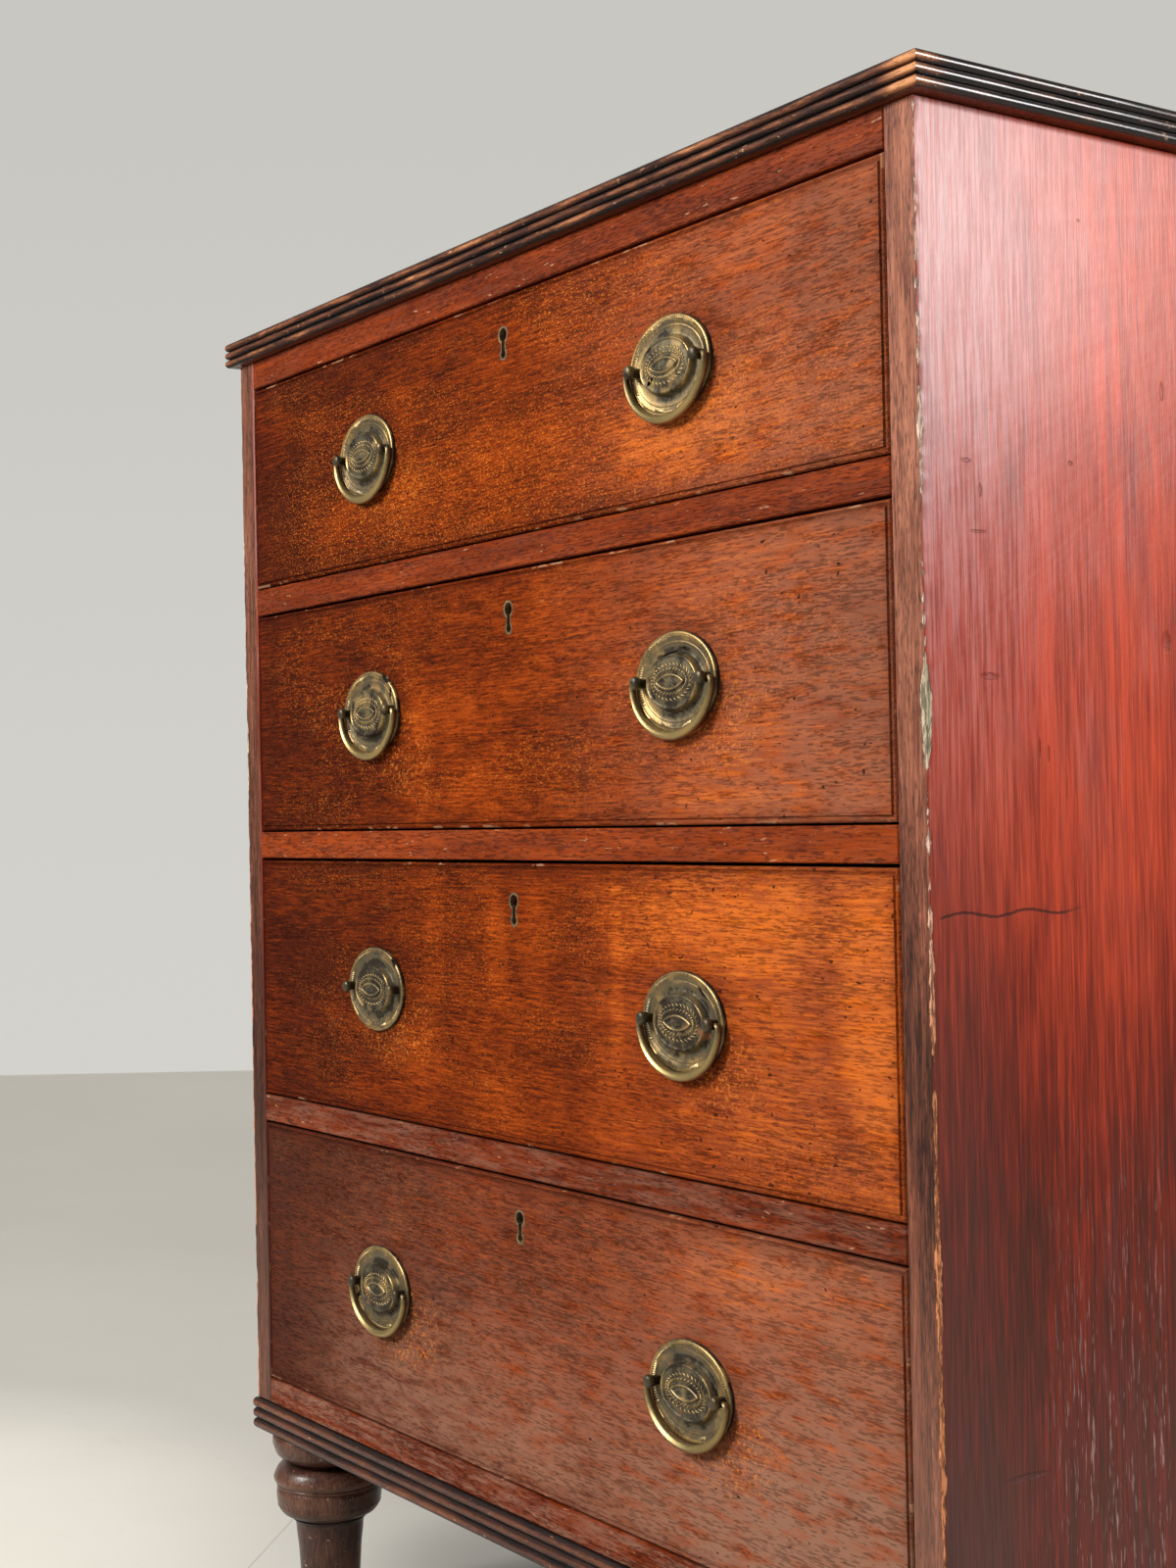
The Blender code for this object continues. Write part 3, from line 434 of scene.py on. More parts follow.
def handle_dirt_and_shadow(finish, number, ragged):
    """Dark polish and the plate's painted shadow round a plate, and the rubbed wood just outside
    it.
    """
    polish_and_shadow, rub = [], []
    for other, _, _, middle in handle_places():
        if other == number:
            # The dark patch sits right of and below the plate: a painted shadow as well as dark
            # polish.
            near = (middle.x + 0.008, middle.z - 0.002)
            wide = (middle.x + 0.035, middle.z - 0.03)
            polish_and_shadow.append(finish.patch(finish.x, finish.z, near, (0.066, 0.054), 0.5, ragged))
            rub.append(finish.patch(finish.x, finish.z, wide, (0.075, 0.042), 1.4, ragged))
    where = (number * 2.0, 0.0, 0.0)
    scratched = finish.spots(0.55, 0.62, (330.0, 60.0, 420.0), 3.0, 0.6, where, 0.8)
    return finish.most(*polish_and_shadow), finish.most(*rub) * scratched


def rail_finish(name, wood, warmth, dust, seed):
    """The rails: brighter on the middle ones, bruised along their edges."""
    finish = Finish(name)
    streak, pore, _ = finish.wood("x", seed)
    broad = finish.cloud((5.0, 5.0, 60.0), 4.0, 0.55, (seed, 0.0, seed))
    shade = finish.ramp(
        finish.level(warmth + 0.05, (broad, 0.8), (streak, 0.7)),
        (0.1, wood.deep), (0.42, wood.red), (0.66, wood.warm), (1.0, wood.bright),
    )
    powder = finish.spots(0.35, 0.7, (30.0, 30.0, 260.0), 4.0, 0.6, (0.0, 0.0, seed))
    scars = finish.spots(0.62, 0.68, (26.0, 26.0, 90.0), 4.0, 0.6, (seed * 2, 0.0, 0.0))
    pale = finish.spots(0.70, 0.74, (90.0, 60.0, 380.0), 2.0, 0.5, (0.0, seed, 0.0))
    shade = finish.over(
        shade,
        (powder * dust, (0.26, 0.122, 0.078)),
        (pore * 0.62, 0.2),
        (scars * 0.5, wood.deep),
        (pale * 0.45, wood.bare),
    )
    finish.relief(streak * 0.35 - pore * 0.9 - scars * 0.8, 0.00012)
    return finish.set(Base_Color=shade, Roughness=0.46 + pore * 0.2, Specular_IOR_Level=0.06)


# Knocks in the side panel: middle y and z, half length along y and along z
SIDE_DENTS = (
    (-0.0996, 0.9175, 0.0024, 0.0018), (-0.0879, 1.0665, 0.0020, 0.0012),
    (-0.187, 0.913, 0.005, 0.0016), (-0.1756, 0.8963, 0.0016, 0.005),
    (-0.178, 0.872, 0.007, 0.0012), (-0.171, 0.7874, 0.009, 0.0026),
    (-0.0165, 0.9685, 0.0022, 0.007), (-0.0174, 0.8119, 0.005, 0.008),
    (-0.1314, 0.745, 0.0012, 0.007), (-0.124, 0.742, 0.0012, 0.007),
    (-0.155, 0.318, 0.022, 0.0022), (0.12, 0.86, 0.006, 0.002), (0.17, 0.52, 0.002, 0.008),
)


def side_finish(wood):
    """Deep red polished panels with upright grain, scars, a worn front edge and painted light at
    the top.
    """
    finish = Finish("mahogany_side")
    along, up = finish.y, finish.z
    streak, pore, _ = finish.wood("z", 2.0)
    lines = finish.cloud((150.0, 400.0, 16.0), 3.0, 0.6, (3.0, 1.0, 0.0), 0.2)
    hair = finish.cloud((260.0, 1050.0, 24.0), 2.0, 0.6, (1.0, 5.0, 0.0))
    grit = finish.cloud((500.0, 620.0, 240.0), 2.0, 0.5, (2.0, 2.0, 0.0))
    bands = finish.cloud((8.0, 46.0, 1.4), 3.0, 0.5, (1.0, 0.0, 4.0))
    broad = finish.cloud((4.0, 9.0, 4.5), 3.0, 0.55, (0.0, 6.0, 2.0), 0.5)
    broken = finish.cloud((420.0, 420.0, 130.0), 4.0, 0.65, (1.0, 1.0, 0.0))
    value = finish.level(0.09, (broad, 0.3), (bands, 0.25), (lines, 0.9))
    # Painted light: the panel grows lighter towards the top.
    value = value + finish.rise(up, 0.42, 0.76) * 0.40 + finish.rise(up, 0.78, 1.1) * 0.14
    red = tuple(wood.side_red)
    dark, deep, light = (
        tuple(part * share for part, share in zip(red, shares))
        for shares in ((0.18, 0.36, 0.60), (0.42, 0.38, 0.45), (1.7, 2.4, 2.3))
    )
    plum = finish.rise(along, -0.13, -0.2) * finish.rise(up, 0.86, 0.5)
    plum = plum + finish.rise(up, 0.42, 0.28) * 0.7
    glow = finish.spots(0.48, 0.64, (8.0, 90.0, 3.0), 3.0, 0.6, (6.0, 2.0, 5.0))
    glow = glow * finish.rise(up, 0.5, 0.85) * finish.rise(along, -0.2, -0.1)
    # Pale milky patches over the upper part, strongest at the upper left: partly worn polish,
    # partly a painted sheen.
    sheen_and_wear_left = finish.rise(along, -0.07, -0.21) * finish.rise(up, 0.62, 1.0)
    patchy = finish.spots(0.46, 0.66, (9.0, 26.0, 9.0), 4.0, 0.6, (1.0, 8.0, 2.0))
    patchy = patchy * finish.rise(up, 0.6, 0.9) * 0.34
    milky_sheen_and_wear = finish.most(sheen_and_wear_left, patchy) * finish.rise(lines, 0.38, 0.60)
    dull = finish.spots(0.54, 0.74, (6.0, 22.0, 7.0), 4.0, 0.6, (2.0, 3.0, 7.0))
    fleck = finish.spots(0.60, 0.67, (200.0, 700.0, 55.0), 2.0, 0.55, (5.0, 2.0, 1.0))
    fleck = fleck * (finish.rise(up, 0.58, 0.3) * finish.rise(along, -0.16, -0.08))
    fleck = fleck * finish.rise(bands, 0.4, 0.55)
    wave = finish.sum("SINE", along * 120.0) * 0.0016
    scar = finish.line(up - 0.6485 - wave - (broken - 0.5) * 0.0018, 0.0, 0.0013)
    scar = scar * finish.rise(along, -0.217, -0.212) * finish.rise(along, -0.09, -0.12)
    forward = finish.rise(finish.facing(), -0.6, -0.9)
    shade = finish.over(
        finish.ramp(value, (0.0, dark), (0.2, deep), (0.48, red), (0.95, light)),
        (finish.rise(hair, 0.43, 0.34) * 0.35, 1.7),
        (plum * (0.2 + broad * 0.45), (0.082, 0.036, 0.031)),
        (glow * (finish.rise(along, 0.16, 0.0) * 0.55 + 0.15), (0.70, 0.075, 0.022)),
        (finish.rise(along, 0.0, 0.2) * 0.42, 0.45),
        (milky_sheen_and_wear * (0.3 + broad * 0.4), (0.46, 0.33, 0.36)),
        (dull * 0.3, (0.12, 0.04, 0.04)),
        (fleck * 0.75, (0.42, 0.27, 0.25)),
        (scar * 0.75, wood.grime),
        (forward, stile_colour(finish, streak, pore)),
        (finish.rise(hair, 0.53, 0.63) * (0.46 - forward * 0.36), 0.36),
    )
    dents = [
        finish.patch(along, up, (y, z), (long, tall), 1.5, broken)
        for y, z, long, tall in SIDE_DENTS
    ]
    dent = finish.most(*dents) * (1.0 - forward)
    bare, pale = worn_and_highlit_edge(finish, broken)
    shade = finish.over(shade, (dent * 0.3, (0.10, 0.03, 0.028)), (bare, pale))
    height = hair * 0.5 + lines * 0.8 + grit * 0.35 - dent * 2.4 - fleck * 0.5 - scar * 0.1
    finish.relief(height - bare * (0.6 + broken), 0.0004)
    gloss = finish.level(0.38, (broad, 0.16), (hair, 0.2)) + bare * 0.4 + forward * 0.2
    coat = 0.24 * (1.0 - forward) * (1.0 - bare)
    return finish.set(
        Base_Color=shade, Roughness=gloss, Coat_Weight=coat, Coat_Roughness=0.26,
        Specular_IOR_Level=0.17,
    )


def worn_and_highlit_edge(finish, broken):
    """Where polish is gone along the front edge, and its colour there: bare wood, with a pale pink
    painted highlight towards the top.
    """
    away = finish.most(finish.y - FACE_Y, SIDE_X - abs(finish.x))
    torn = finish.patch(finish.z, finish.z, (0.768, 0.768), (0.06, 0.06), 0.6, broken)
    low = finish.rise(finish.z, 0.73, 0.55)
    slow = finish.cloud((30.0, 30.0, 34.0), 2.0, 0.6, (5.0, 5.0, 0.0))
    reach = finish.level(0.0011 + low * 0.0012 + torn * 0.0032, (broken, 0.0048), (slow, 0.0075))
    chipped = finish.rise(finish.noted("worn") + (broken - 0.5) * 0.9, 0.5, 0.62)
    cracks = finish.spots(0.44, 0.56, (900.0, 900.0, 120.0), 3.0, 0.6, (0.0, 0.0, 4.0))
    # Painted highlight: the worn edge is pale pink above and orange tan lower down, where it is
    # bare wood.
    plain = finish.mix(low, (0.80, 0.56, 0.44), (0.62, 0.23, 0.10))
    pale = finish.mix(torn, plain, (0.56, 0.46, 0.31))
    bare = finish.most(finish.rise(reach - away, 0.0, 0.0005), chipped)
    return bare, finish.mix(cracks, finish.tint(pale, 0.35), pale)


def stile_colour(finish, streak, pore):
    """The front edge of a side panel, browner than its face."""
    up = finish.z
    mottled = finish.cloud((140.0, 20.0, 9.0), 4.0, 0.6, (7.0, 0.0, 1.0))
    value = finish.level(0.22, (mottled, 1.1), (streak, 1.1))
    value = value + finish.rise(up, 0.50, 0.92) * 0.32 + finish.rise(up, 0.5, 0.3) * 0.16
    return finish.over(
        finish.ramp(
            value, (0.05, (0.045, 0.014, 0.008)), (0.42, (0.20, 0.060, 0.030)),
            (0.9, (0.50, 0.19, 0.105)),
        ),
        (pore * 0.6, 0.2),
        (finish.rise(up, 0.52, 0.28) * 0.3, (0.24, 0.14, 0.105)),
        (finish.rise(finish.x, 0.0, -0.1) * 0.7, 0.35),
    )


def moulding_finish(name, wood, seed):
    """Near-black mouldings whose crests are rubbed to orange brown."""
    finish = Finish(name)
    streak, pore, _ = finish.wood("x", seed)
    crest = finish.noted("worn")
    broad = finish.cloud((9.0, 9.0, 60.0), 4.0, 0.6, (seed, 1.0, 0.0))
    shade = finish.ramp(
        finish.level(crest * 0.52, (broad, 1.1), (streak, 0.5)) + 0.02,
        (0.06, (0.008, 0.004, 0.003)), (0.34, (0.045, 0.013, 0.007)),
        (0.66, (0.16, 0.045, 0.016)), (1.0, (0.42, 0.16, 0.055)),
    )
    nicks = finish.spots(0.66, 0.70, (120.0, 120.0, 260.0), 3.0, 0.6, (seed, 0.0, 3.0)) * crest
    shade = finish.over(shade, (pore * 0.5, wood.grime), (nicks * 0.75, wood.bare))
    finish.relief(streak * 0.3 - pore * 0.5 - nicks * 1.5, 0.0004)
    gloss = 0.42 - crest * 0.12 + (broad - 0.5) * 0.2
    return finish.set(
        Base_Color=shade, Roughness=gloss, Coat_Weight=0.06, Coat_Roughness=0.25,
        Specular_IOR_Level=0.25,
    )


def foot_finish(wood):
    """Turned feet: dark polish, brown where feet and brooms have rubbed them."""
    finish = Finish("mahogany_foot")
    streak, pore, _ = finish.wood("z", 6.0)
    crest = finish.noted("worn")
    broad = finish.cloud((22.0, 22.0, 14.0), 4.0, 0.6, (1.0, 4.0, 2.0))
    shade = finish.ramp(
        finish.level(crest * 0.40, (broad, 1.3), (streak, 0.9)) + 0.09,
        (0.05, (0.014, 0.006, 0.004)), (0.36, (0.072, 0.025, 0.014)),
        (0.7, (0.16, 0.070, 0.040)), (1.0, (0.34, 0.18, 0.11)),
    )
    nicks = finish.spots(0.68, 0.72, (150.0, 150.0, 190.0), 3.0, 0.6, (4.0, 0.0, 3.0))
    shade = finish.over(shade, (pore * 0.5, wood.grime), (nicks * 0.7, (0.5, 0.34, 0.22)))
    finish.relief(streak * 0.4 - pore * 0.5 - nicks * 1.2, 0.0004)
    gloss = 0.40 - crest * 0.1 + (broad - 0.5) * 0.25
    return finish.set(
        Base_Color=shade, Roughness=gloss, Coat_Weight=0.12, Coat_Roughness=0.2,
        Specular_IOR_Level=0.3,
    )


def top_finish(wood):
    """The polished upper surface runs into the rubbed reeds at its edge."""
    finish = Finish("mahogany_top")
    low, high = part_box("top")
    streak, pore, _ = finish.wood("x", 9.0)
    crest, edge = finish.noted("worn"), finish.noted("edge")
    broad = finish.cloud((3.0, 20.0, 60.0), 4.0, 0.6, (2.0, 1.0, 0.0), 0.4)
    field = finish.ramp(
        finish.level(0.45, (broad, 0.9), (streak, 0.5)),
        (0.1, wood.deep), (0.55, (0.16, 0.034, 0.014)), (1.0, (0.33, 0.09, 0.03)),
    )
    rubs = finish.cloud((14.0, 30.0, 120.0), 4.0, 0.6, (3.0, 1.0, 0.0))
    corner = finish.patch(finish.x, finish.y, (high.x, low.y), (0.035, 0.03), 0.8, rubs)
    sideways = finish.rise(finish.facing(), -0.5, -0.1)
    value = finish.level(crest * 0.56, (rubs, 1.5), (streak, 0.5))
    reeds = finish.ramp(
        value + corner * 0.5 - 0.02 - sideways * 0.24,
        (0.08, (0.008, 0.005, 0.004)), (0.36, (0.055, 0.019, 0.011)),
        (0.62, (0.21, 0.072, 0.030)), (0.95, (0.62, 0.27, 0.11)),
    )
    nicks = finish.spots(0.66, 0.70, (120.0, 120.0, 260.0), 3.0, 0.6, (1.0, 0.0, 3.0))
    nicks = nicks * crest * edge
    rings = finish.spots(0.58, 0.7, 9.0, 3.0, 0.6, (4.0, 4.0, 1.0)) * (1.0 - edge)
    shade = finish.over(
        field, (edge, reeds), (pore * 0.5, wood.grime), (nicks * 0.7, wood.bare),
        (rings * 0.35, wood.deep),
    )
    grit = finish.cloud((300.0, 300.0, 500.0), 3.0, 0.6, (0.0, 2.0, 5.0))
    finish.relief(streak * 0.3 + grit * 0.7 - pore * 0.5 - nicks * 1.5, 0.0004)
    gloss = 0.36 + (broad - 0.5) * 0.2 + edge * 0.06
    coat = sideways * edge * 0.75 + (1.0 - edge) * 0.2
    return finish.set(
        Base_Color=shade, Roughness=gloss, Coat_Weight=coat, Coat_Roughness=0.2,
        Specular_IOR_Level=0.12,
    )


def lining_finish(axis, seed):
    """Bare oak of the drawer linings, with rays and stains."""
    finish = Finish("lining_oak_" + axis)
    streak, pore, _ = finish.wood(axis, seed)
    broad = finish.cloud(grain_scale(axis, 3.0, 30.0), 4.0, 0.55, (seed, 0.0, seed))
    rays = finish.spots(0.66, 0.72, (220.0, 40.0, 60.0), 2.0, 0.5, (seed, 3.0, 0.0))
    stains = finish.spots(0.6, 0.75, 14.0, 3.0, 0.6, (seed, 1.0, 2.0))
    shade = finish.over(
        finish.ramp(
            finish.level(0.5, (broad, 0.8), (streak, 0.7)),
            (0.1, (0.15, 0.075, 0.032)), (0.5, (0.33, 0.185, 0.085)), (1.0, (0.50, 0.32, 0.17)),
        ),
        (pore * 0.5, (0.07, 0.035, 0.016)),
        (rays * 0.3, (0.55, 0.38, 0.22)),
        (stains * 0.4, (0.10, 0.055, 0.03)),
    )
    finish.relief(streak * 0.5 - pore * 0.8, 0.0004)
    return finish.set(Base_Color=shade, Roughness=0.62 + pore * 0.2)


def back_finish():
    """Old pine with wide upright grain, knots and dust."""
    finish = Finish("back_pine")
    wander = finish.cloud((7.0, 7.0, 1.1), 2.0, 0.5, (1.0, 0.0, 0.0))
    rings = finish.sum("SINE", finish.x * 520.0 + wander * 48.0) * 0.5 + 0.5
    streak, _, crowd = finish.wood("z", 8.0)
    broad = finish.cloud((6.0, 6.0, 2.2), 4.0, 0.6, (3.0, 0.0, 0.0))
    knots = finish.spots(0.73, 0.79, (9.0, 2.0, 6.0), 1.0, 0.4, (2.0, 2.0, 5.0))
    shade = finish.over(
        finish.ramp(
            finish.level(rings * 0.28, (streak, 0.7), (broad, 0.9)) + 0.34,
            (0.05, (0.12, 0.055, 0.022)), (0.5, (0.27, 0.145, 0.062)), (1.0, (0.42, 0.26, 0.125)),
        ),
        (knots * 0.8, (0.05, 0.02, 0.01)),
        (finish.rise(crowd, 0.5, 0.7) * 0.25, (0.10, 0.075, 0.055)),
    )
    finish.relief(rings * 0.5 + streak * 0.4, 0.0004)
    return finish.set(Base_Color=shade, Roughness=0.72 + (broad - 0.5) * 0.1)


def brass_finish(name, brass, age, seed):
    """Stamped brass: rubbed on what stands out, green grey in the hollows, painted shade in the
    deepest ones.
    """
    finish = Finish(name)
    raised, black = finish.noted("raised"), finish.noted("soot")
    clouds = finish.cloud(70.0, 4.0, 0.6, (seed, 0.0, seed))
    fine = finish.cloud(520.0, 4.0, 0.65, (0.0, seed, 0.0))
    # Low places run down to soot: partly green grey patina, partly painted shade.
    value = finish.level(raised * 0.68, (clouds, 1.3), (fine, 0.7)) + 0.15 - age
    shade = finish.over(
        finish.ramp(
            value, (0.10, brass.soot), (0.30, brass.green), (0.52, brass.dull), (0.86, brass.gold)
        ),
        (finish.spots(0.56, 0.68, 38.0, 3.0, 0.6, (seed * 2, 1.0, 0.0)) * 0.5, brass.gold),
        (finish.spots(0.63, 0.72, 46.0, 3.0, 0.6, (1.0, seed, seed)) * 0.5, brass.copper),
        # Painted shade: black where the soot mark is high, in the tears and on the posts' necks.
        (black, brass.soot),
    )
    finish.relief(fine * 0.5 + clouds * 0.6, 0.00025)
    gloss = 0.52 - raised * 0.12 + (fine - 0.5) * 0.3 - black * 0.18
    metal = 0.86 - finish.rise(value, 0.5, 0.16) * 0.5 - black * 0.2
    return finish.set(Base_Color=shade, Roughness=gloss, Metallic=metal, Specular_IOR_Level=0.25)


def bail_finish(brass):
    """Cast bails: golden on the ridge and lower bow, dark at the posts; partly rubbed, partly
    painted light.
    """
    finish = Finish("brass_bail")
    clouds = finish.cloud(60.0, 4.0, 0.6, (3.0, 1.0, 0.0))
    fine = finish.cloud(600.0, 3.0, 0.6)
    worn = finish.noted("raised")
    shade = finish.ramp(
        finish.level(worn * 0.55, (clouds, 0.9), (fine, 0.4)) + 0.24,
        (0.08, brass.soot), (0.34, brass.dull), (0.62, (0.36, 0.27, 0.11)), (0.92, brass.gold),
    )
    finish.relief(fine * 0.4 + clouds * 0.5, 0.0002)
    gloss = 0.48 - worn * 0.12 + (fine - 0.5) * 0.2
    return finish.set(Base_Color=shade, Roughness=gloss, Metallic=0.88)


def thread_finish(brass):
    """The thin brass line round a keyhole."""
    finish = Finish("brass_thread")
    fine = finish.cloud(420.0, 4.0, 0.65)
    clouds = finish.cloud(90.0, 3.0, 0.6)
    shade = finish.ramp(
        finish.level(0.68, (clouds, 0.8), (fine, 0.5)),
        (0.2, brass.soot), (0.45, brass.green), (0.7, brass.dull), (1.0, brass.gold),
    )
    finish.relief(fine, 0.00015)
    return finish.set(Base_Color=shade, Roughness=0.42 + (fine - 0.5) * 0.3, Metallic=0.6)


def iron_finish():
    """Lock iron, brown with age and bright where the selvage is rubbed."""
    finish = Finish("iron_lock")
    clouds = finish.cloud(90.0, 4.0, 0.6)
    fine = finish.cloud(700.0, 3.0, 0.6)
    shade = finish.ramp(
        clouds + (fine - 0.5) * 0.4,
        (0.3, (0.035, 0.022, 0.015)), (0.55, (0.10, 0.085, 0.07)), (0.8, (0.26, 0.23, 0.19)),
    )
    finish.relief(fine, 0.0002)
    return finish.set(Base_Color=shade, Roughness=0.5 + (fine - 0.5) * 0.3, Metallic=0.8)


# Modelling by hand


def fresh(name, add, **how):
    """Deselects everything and adds a primitive under its own name."""
    bpy.ops.object.select_all(action="DESELECT")
    add(**how)
    piece = bpy.context.object
    piece.name = piece.data.name = name
    return piece


def linked(name, data):
    """Puts data in the scene as a new object."""
    item = bpy.data.objects.new(name, data)
    bpy.context.scene.collection.objects.link(item)
    return item


def only(*pieces):
    """Selects just these pieces, with the first of them active."""
    bpy.ops.object.select_all(action="DESELECT")
    for piece in pieces:
        piece.select_set(True)
    bpy.context.view_layer.objects.active = pieces[0]


def edit():
    """Opens the active piece with everything in it selected."""
    bpy.ops.object.mode_set(mode="EDIT")
    bpy.ops.mesh.select_all(action="SELECT")


def leave():
    bpy.ops.object.mode_set(mode="OBJECT")


def turn_outwards(piece, merge=0.0):
    """Points a piece's faces outwards, after merging points that nearly meet."""
    only(piece)
    edit()
    if merge:
        bpy.ops.mesh.remove_doubles(threshold=merge)
    bpy.ops.mesh.normals_make_consistent(inside=False)
    leave()


def smooth(degrees):
    """Shades what is selected, sharp at edges that turn by more than an angle."""
    bpy.ops.object.shade_smooth_by_angle(angle=math.radians(degrees))


def settle(piece, degrees):
    """Puts a piece's place in its mesh, points its faces outwards and shades it."""
    only(piece)
    bpy.ops.object.transform_apply()
    turn_outwards(piece, 0.000002)
    smooth(degrees)


def dress(piece, material, body, slot, *nodes):
    """Gives a piece its finish and its body, and hides the solids it stands for. The slot is not
    used.
    """
    piece.data.materials.clear()
    piece.data.materials.append(material)
    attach(piece, body)
    if nodes:
        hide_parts(*nodes)


def paint_node(name, material):
    frame["nodes"][name].material_slots[0].material = material


def copy_of(node, name):
    """A loose copy of a solid's mesh, merged so that it can be worked on."""
    piece = linked(name, frame["nodes"][node].data.copy())
    only(piece)
    edit()
    bpy.ops.mesh.remove_doubles(threshold=0.00001)
    bpy.ops.mesh.tris_convert_to_quads()
    leave()
    bpy.ops.mesh.customdata_custom_splitnormals_clear()
    return piece


def copied(pattern, name):
    """A copy of a piece with its own mesh."""
    only(pattern)
    bpy.ops.object.duplicate()
    piece = bpy.context.object
    piece.name = piece.data.name = name
    return piece


def joined(name, pieces):
    """Makes one piece of several."""
    only(*pieces)
    bpy.ops.object.join()
    pieces[0].name = name
    return pieces[0]


def pick(piece, kind, test):
    """In edit mode, selects just the points or the edges that pass a test."""
    bpy.ops.mesh.select_mode(type={"verts": "VERT", "edges": "EDGE"}[kind])
    bm = bmesh.from_edit_mesh(piece.data)
    for item in (*bm.verts, *bm.edges, *bm.faces):
        item.select_set(False)
    for item in getattr(bm, kind):
        if test(item):
            item.select_set(True)
    bm.select_flush_mode()
    bmesh.update_edit_mesh(piece.data)


def pull(shift, scale=(1.0, 1.0, 1.0), about=ORIGIN):
    """Extrudes what is selected by a shift, then scales it about a point."""
    bpy.ops.mesh.extrude_region_move(TRANSFORM_OT_translate={"value": shift})
    bpy.ops.transform.resize(value=scale, center_override=about)


def slice_at(axis, places):
    """In edit mode, cuts the whole piece square to an axis at each place."""
    for place in places:
        point, normal = list(ORIGIN), list(ORIGIN)
        point[axis], normal[axis] = place, 1.0
        bpy.ops.mesh.select_all(action="SELECT")
        bpy.ops.mesh.bisect(plane_co=point, plane_no=normal)


def evenly(low, high, lengths):
    """The places that part a stretch into equal lengths."""
    return [low + (high - low) * index / lengths for index in range(1, lengths)]


def change(piece, kind, **how):
    """Applies one modifier to a piece."""
    only(piece)
    step = piece.modifiers.new(kind.lower(), kind)
    for key, value in how.items():
        setattr(step, key, value)
    bpy.ops.object.modifier_apply(modifier=step.name)


def carve(piece, place, stretch, turn, add, **how):
    """Cuts a primitive out of a piece, stretched and turned in the front's plane."""
    cutter = fresh("cutter", add, **how)
    cutter.scale = stretch
    cutter.rotation_euler = (0.0, turn, 0.0)
    cutter.location = place
    bpy.ops.object.transform_apply()
    change(piece, "BOOLEAN", object=cutter, solver="EXACT")
    bpy.data.objects.remove(cutter)


def piece_box(piece):
    sides = list(zip(*(point.co for point in piece.data.vertices)))
    return Vector([min(side) for side in sides]), Vector([max(side) for side in sides])


def dent(piece, weigh, margin, size, detail, rest, depth):
    """Pushes points in by a cloud pattern and their weights, and none out of the box."""
    low, high = piece_box(piece)
    group = piece.vertex_groups.new(name="dents")
    for point in piece.data.vertices:
        weight = weigh(point.co, low, high)
        if weight > 0.0 and min(point.co.z - low.z, high.z - point.co.z) > margin:
            group.add([point.index], weight, "REPLACE")
    pattern = bpy.data.textures.new(piece.name + " dents", "CLOUDS")
    pattern.noise_scale = size
    pattern.noise_depth = detail
    change(
        piece, "DISPLACE", texture=pattern, texture_coords="LOCAL", mid_level=rest,
        strength=-depth, vertex_group=group.name,
    )
    for point in piece.data.vertices:
        point.co = [min(max(at, start), end) for at, start, end in zip(point.co, low, high)]


def note(piece, name, values):
    """Writes a number on every point of a piece, for its finish to read."""
    layer = piece.data.attributes.get(name) or piece.data.attributes.new(name, "FLOAT", "POINT")
    layer.data.foreach_set("value", values)


def note_points(piece, name, measure):
    note(piece, name, [measure(point.co) for point in piece.data.vertices])


def clamped(value, low=0.0, high=1.0):
    return min(high, max(low, value))


FACING_OUT = Matrix.Rotation(math.pi / 2, 4, "X")
FACING_IN = Matrix.Rotation(math.pi, 4, "Z") @ FACING_OUT


def turned(name, profile, steps, place, heading=Matrix()):
    """A turned piece: a disc pulled through rows of (radius, height)."""
    radius, height = profile[0]
    piece = fresh(
        name, bpy.ops.mesh.primitive_circle_add, vertices=steps, radius=radius,
        fill_type="NGON", location=(0, 0, height),
    )
    bpy.ops.object.transform_apply()
    edit()
    for next_radius, next_height in profile[1:]:
        share = next_radius / radius
        pull((0.0, 0.0, next_height - height), (share, share, 1.0), (0.0, 0.0, next_height))
        radius, height = next_radius, next_height
    leave()
    piece.data.transform(Matrix.Translation(place) @ heading)
    return piece


def stamped(name, rows, half, points, reach, base=0.0, sharpness=1.0):
    """An oval pulled outwards through rows: shares of its half width, height and reach."""
    piece = fresh(
        name, bpy.ops.mesh.primitive_circle_add, vertices=points, radius=1.0,
        fill_type="NGON", rotation=(math.pi / 2, 0, 0),
    )
    bpy.ops.object.transform_apply()
    for point in piece.data.vertices:
        point.co.z = math.copysign(abs(point.co.z) ** sharpness, point.co.z)
    wide, high, deep = rows[0]
    edit()
    start = (wide * half[0], 1.0, high * half[1])
    bpy.ops.transform.resize(value=start, center_override=ORIGIN)
    bpy.ops.transform.translate(value=(0.0, -base - deep * reach, 0.0))
    for next_wide, next_high, next_deep in rows[1:]:
        shift = (0.0, (deep - next_deep) * reach, 0.0)
        pull(shift, (next_wide / wide, 1.0, next_high / high))
        wide, high, deep = next_wide, next_high, next_deep
    leave()
    return piece


def thread_through(curve, places, closed=False):
    """Adds a line through places to a curve."""
    line = curve.splines.new("POLY")
    line.points.add(len(places) - 1)
    for point, place in zip(line.points, places):
        point.co = (*place, 1.0)
    line.use_cyclic_u = closed
    return line


def made_mesh(name, curve):
    """A piece made of a curve."""
    only(linked(name, curve))
    bpy.ops.object.convert(target="MESH")
    return bpy.context.object


# Depth of the reeds, and how far in from the edge they take dents
TOP_REED_DEPTH, TOP_DENT_REACH = 0.0032, 0.0034
BASE_REED_DEPTH, BASE_DENT_REACH = 0.003, 0.0026

